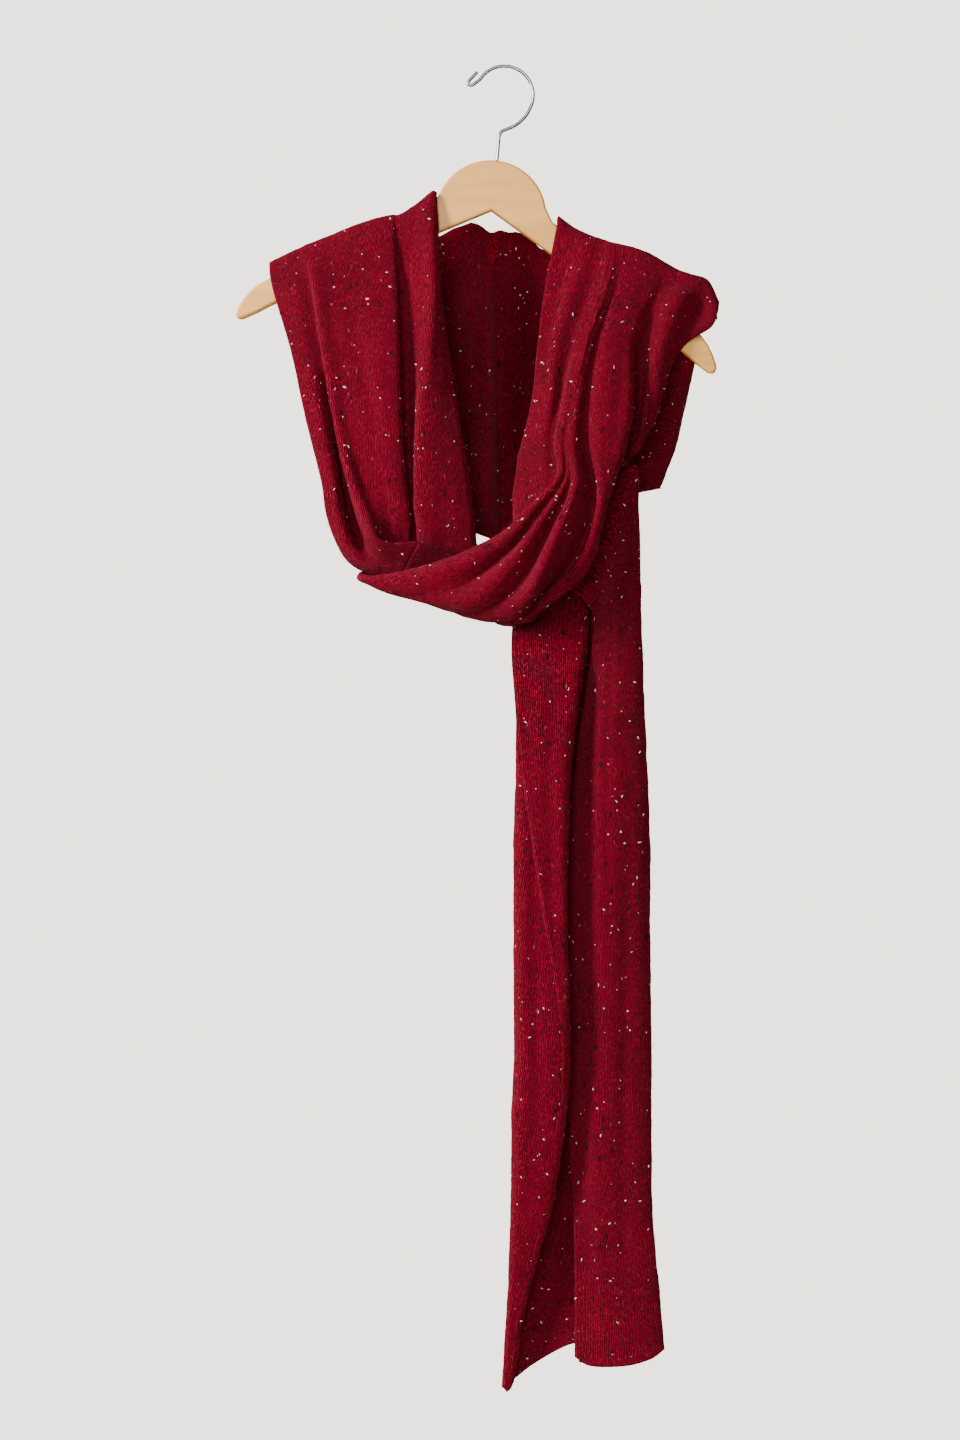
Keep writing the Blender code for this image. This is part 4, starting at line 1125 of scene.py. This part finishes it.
def build_hook():
    """The plated wire hook that stands in the hanger's dome."""
    rough = np.array([(x, drop, 0.0) for x, drop in hook_route()])
    route = through(rough, np.linspace(0, len(rough) - 1, (len(rough) - 1) * 5 + 1))
    mesh = curve_mesh("hook_route", to_world(route), False, dimensions="3D",
                      bevel_depth=HOOK_WIRE / 2 * MM, bevel_resolution=5, use_fill_caps=True)
    add_piece("wire_hook", welded(mesh, 1e-6), wire_material(), ["hanger_hook"])


# ---- flecks and fibres

def cloth_points(piece, count, seed):
    """Random points on a piece's finished surface: places and normals, evenly by area."""
    evaluated = piece.evaluated_get(bpy.context.evaluated_depsgraph_get())
    mesh = evaluated.to_mesh()
    mesh.calc_loop_triangles()
    places = np.empty(len(mesh.vertices) * 3)
    mesh.vertices.foreach_get("co", places)
    triangles = np.empty(len(mesh.loop_triangles) * 3, np.int32)
    mesh.loop_triangles.foreach_get("vertices", triangles)
    evaluated.to_mesh_clear()
    corners = places.reshape(-1, 3)[triangles.reshape(-1, 3)]
    a, b, c = corners[:, 0], corners[:, 1], corners[:, 2]
    normal = np.cross(b - a, c - a)
    area = np.linalg.norm(normal, axis=1)
    chance = np.random.default_rng(seed)
    wanted = int(count * (area.sum() / 2) / SQUARE_DM)
    index = chance.choice(len(area), wanted, p=area / area.sum())
    u, v = chance.random((2, wanted, 1))
    u, v = np.where(u + v > 1, 1 - u, u), np.where(u + v > 1, 1 - v, v)
    found = a[index] + u * (b[index] - a[index]) + v * (c[index] - a[index])
    return found, normal[index] / area[index][:, None], chance


def joined_mesh(name, vertices, faces):
    """One mesh from the points and faces of many small shapes."""
    mesh = bpy.data.meshes.new(name)
    mesh.from_pydata(np.concatenate(vertices).tolist(), [], np.concatenate(faces).tolist())
    mesh.update()
    return mesh


def fleck_mesh(name, count, long, wide, seed):
    """Small uneven lumps of fibre pressed on the cloth, as one mesh."""
    seedling = bmesh.new()
    bmesh.ops.create_icosphere(seedling, subdivisions=1, radius=0.5)
    seedling.verts.ensure_lookup_table()
    lump = np.array([v.co for v in seedling.verts])
    lump_faces = np.array([[v.index for v in f.verts] for f in seedling.faces])
    seedling.free()
    lumps = []
    for number, piece in enumerate(cloth_pieces()):
        found, normals, chance = cloth_points(piece, count, seed + number)
        for place, normal in zip(found, normals):
            side = np.cross(normal, chance.normal(size=3))
            side /= np.linalg.norm(side)
            other = np.cross(normal, side)
            length = between(*long, chance.random() ** 2.2)
            width = min(length, between(*wide, chance.random()))
            size = np.array([length, width, width * FLECK_FLAT])
            uneven = lump * (1 + chance.normal(scale=0.16, size=lump.shape))
            lumps.append(place + normal * width * FLECK_RISE
                         + (uneven * size) @ np.array([side, other, normal]))
    faces = [lump_faces + number * len(lump) for number in range(len(lumps))]
    return joined_mesh(name, lumps, faces)


def fibre_mesh(name, count, longest, seed):
    """Loose curved fibres that stand off the cloth, as one mesh of thin ribbons."""
    vertices, faces = [], []
    for number, piece in enumerate(cloth_pieces()):
        found, normals, chance = cloth_points(piece, count, seed + number)
        amount = len(found)
        side = np.cross(normals, chance.normal(size=(amount, 3)))
        side /= np.linalg.norm(side, axis=1, keepdims=True)
        length = (0.3 + 0.7 * chance.random((amount, 1)) ** 2) * longest
        rise = 0.25 + 0.5 * chance.random((amount, 1))
        bend = chance.normal(scale=0.35, size=(amount, 3))
        width = np.cross(normals, side) * FIBRE_HALF
        rings = []
        for share in (0.0, 0.4, 0.75, 1.0):
            middle = (found + side * length * share
                      + normals * length * rise * (share - 0.55 * share * share)
                      + bend * length * share * share * 0.5)
            thin = width * (1.0 - 0.8 * share)
            rings += [middle - thin, middle + thin]
        base = sum(len(v) for v in vertices)
        vertices.append(np.stack(rings, axis=1).reshape(-1, 3))
        starts = base + np.arange(amount)[:, None] * 8
        for low in (0, 2, 4):
            faces.append(starts + np.array([[low, low + 1, low + 3, low + 2]]))
    return joined_mesh(name, vertices, faces)


def cloth_pieces():
    """The lengths of cloth that are in the scene."""
    names = ("right_strand", "right_tail", "left_strand", "left_tail", "hood_cloth")
    return [bpy.data.objects[name] for name in names]


def build_flecks():
    """Pale and dark flecks caught in the knit."""
    fleck = bpy.context.scene.scarf_fleck
    pale = fleck_mesh("pale_flecks", fleck.pale_count, PALE_LONG, PALE_WIDE, PALE_SEED)
    add_piece("pale_flecks", pale, fibre_material("pale_fibre", fleck.pale))
    dark = fleck_mesh("dark_flecks", fleck.dark_count, DARK_LONG, DARK_WIDE, DARK_SEED)
    add_piece("dark_flecks", dark, fibre_material("dark_fibre", fleck.dark, 0.1))


def build_fibres():
    """The halo of loose red fibres round the knit."""
    fleck = bpy.context.scene.scarf_fleck
    red = bpy.context.scene.scarf_knit.red
    mesh = fibre_mesh("loose_fibres", fleck.fibre_count, fleck.fibre_length, FIBRE_SEED)
    add_piece("loose_fibres", mesh, fibre_material("red_fibre", [c * 1.3 for c in red], 0.5))


# ---- stage

def add_floor(stage):
    """Round pale floor."""
    mesh = bpy.data.meshes.new("floor")
    shape = bmesh.new()
    bmesh.ops.create_circle(shape, cap_ends=True, segments=96, radius=FLOOR_RADIUS)
    bmesh.ops.translate(shape, verts=shape.verts, vec=(0.0, 0.0, -stage.floor_drop))
    shape.to_mesh(mesh)
    shape.free()
    floor = add_object("floor", mesh)
    material, tree, shader = new_material("pale_floor")
    tree.fill(shader, {"Base Color": colour(stage.pale), "Roughness": 0.9})
    mesh.materials.append(material)


def add_surround(stage):
    """Pale surround: one strength as a light, and another as a backdrop."""
    world = bpy.data.worlds.new("surround")
    world.use_nodes = True
    tree = Tree(world.node_tree)
    seen = tree.node("ShaderNodeLightPath").outputs["Is Camera Ray"]
    shades = [tree.node("ShaderNodeBackground", {"Color": colour(stage.pale), "Strength": strength})
              for strength in (stage.surround, stage.backdrop)]
    both = tree.node("ShaderNodeMixShader", {0: seen, 1: shades[0].outputs["Background"],
                                             2: shades[1].outputs["Background"]})
    tree.fill(world.node_tree.nodes["World Output"].inputs, {"Surface": both.outputs["Shader"]})
    bpy.context.scene.world = world


def build_stage():
    """Plain pale floor and surround, soft light, and the camera."""
    stage = bpy.context.scene.scarf_stage
    add_floor(stage)
    add_surround(stage)
    for name, place, wide, high in LIGHTS:
        light = bpy.data.lights.new(name, "AREA")
        light.shape = "RECTANGLE"
        light.size = wide
        light.size_y = high
        light.energy = getattr(stage, name)
        lamp = add_object(name, light)
        lamp.location = place
        aim = Vector(LIGHT_AIM) - Vector(place)
        lamp.rotation_euler = aim.to_track_quat("-Z", "Y").to_euler()

    lens = bpy.data.cameras.new("camera")
    lens.sensor_fit = "VERTICAL"
    lens.sensor_height = SENSOR
    lens.lens = SENSOR * -CAMERA_AT[1] / CAMERA_HIGH
    lens.clip_start = 0.05
    lens.clip_end = 50.0
    camera = add_object("camera", lens)
    camera.location = CAMERA_AT
    camera.rotation_euler = (math.pi / 2, 0.0, 0.0)
    bpy.context.scene.camera = camera


# ---- operators

class SCARF_OT_left_strand(bpy.types.Operator):
    """Add the strand over the hanger's left arm"""

    bl_idname = "scarf.left_strand"
    bl_label = "Left strand"

    def execute(self, context):
        build_left_strand()
        return {"FINISHED"}


class SCARF_OT_left_tail(bpy.types.Operator):
    """Add the left strand's tail"""

    bl_idname = "scarf.left_tail"
    bl_label = "Left tail"

    def execute(self, context):
        build_left_tail()
        return {"FINISHED"}


class SCARF_OT_right_strand(bpy.types.Operator):
    """Add the strand over the hanger's right arm"""

    bl_idname = "scarf.right_strand"
    bl_label = "Right strand"

    def execute(self, context):
        build_right_strand()
        return {"FINISHED"}


class SCARF_OT_right_tail(bpy.types.Operator):
    """Add the right strand's tail"""

    bl_idname = "scarf.right_tail"
    bl_label = "Right tail"

    def execute(self, context):
        build_right_tail()
        return {"FINISHED"}


class SCARF_OT_hood(bpy.types.Operator):
    """Add the hood"""

    bl_idname = "scarf.hood"
    bl_label = "Hood"

    def execute(self, context):
        build_hood()
        return {"FINISHED"}


class SCARF_OT_flecks(bpy.types.Operator):
    """Add the flecks and loose fibres of the yarn"""

    bl_idname = "scarf.flecks"
    bl_label = "Flecks and fibres"

    def execute(self, context):
        build_flecks()
        build_fibres()
        return {"FINISHED"}


class SCARF_OT_hanger(bpy.types.Operator):
    """Add the wooden hanger and its hook"""

    bl_idname = "scarf.hanger"
    bl_label = "Hanger"

    def execute(self, context):
        build_hanger()
        build_hook()
        return {"FINISHED"}


class SCARF_OT_stage(bpy.types.Operator):
    """Add the floor, the lights and the camera"""

    bl_idname = "scarf.stage"
    bl_label = "Stage"

    def execute(self, context):
        build_stage()
        return {"FINISHED"}


class SCARF_PT_panel(bpy.types.Panel):
    """Sizes, colours and pieces of the scarf"""

    bl_idname = "SCARF_PT_panel"
    bl_label = "Hooded scarf"
    bl_space_type = "VIEW_3D"
    bl_region_type = "UI"
    bl_category = "Scarf"

    def draw(self, context):
        scene = context.scene
        for settings in (scene.scarf_knit, scene.scarf_fleck, scene.scarf_hanger,
                         scene.scarf_stage):
            box = self.layout.box()
            for name in settings.bl_rna.properties.keys():
                if name not in ("rna_type", "name"):
                    box.prop(settings, name)
        for operator in OPERATORS:
            self.layout.operator(operator.bl_idname)


SETTINGS = (("scarf_knit", KnitSettings), ("scarf_fleck", FleckSettings),
            ("scarf_hanger", HangerSettings), ("scarf_stage", StageSettings))
OPERATORS = (SCARF_OT_left_strand, SCARF_OT_left_tail, SCARF_OT_right_strand,
             SCARF_OT_right_tail, SCARF_OT_hood, SCARF_OT_hanger, SCARF_OT_flecks,
             SCARF_OT_stage)


def register():
    for name, settings in SETTINGS:
        bpy.utils.register_class(settings)
        setattr(bpy.types.Scene, name, PointerProperty(type=settings))
    for made in (*OPERATORS, SCARF_PT_panel):
        bpy.utils.register_class(made)


def unregister():
    for made in (SCARF_PT_panel, *reversed(OPERATORS)):
        bpy.utils.unregister_class(made)
    for name, settings in reversed(SETTINGS):
        delattr(bpy.types.Scene, name)
        bpy.utils.unregister_class(settings)


def main():
    """Builds every piece and the stage."""
    register()
    bpy.ops.scarf.left_strand()
    bpy.ops.scarf.left_tail()
    bpy.ops.scarf.right_strand()
    bpy.ops.scarf.right_tail()
    bpy.ops.scarf.hood()
    bpy.ops.scarf.hanger()
    bpy.ops.scarf.flecks()
    bpy.ops.scarf.stage()


if __name__ == "__main__":
    main()
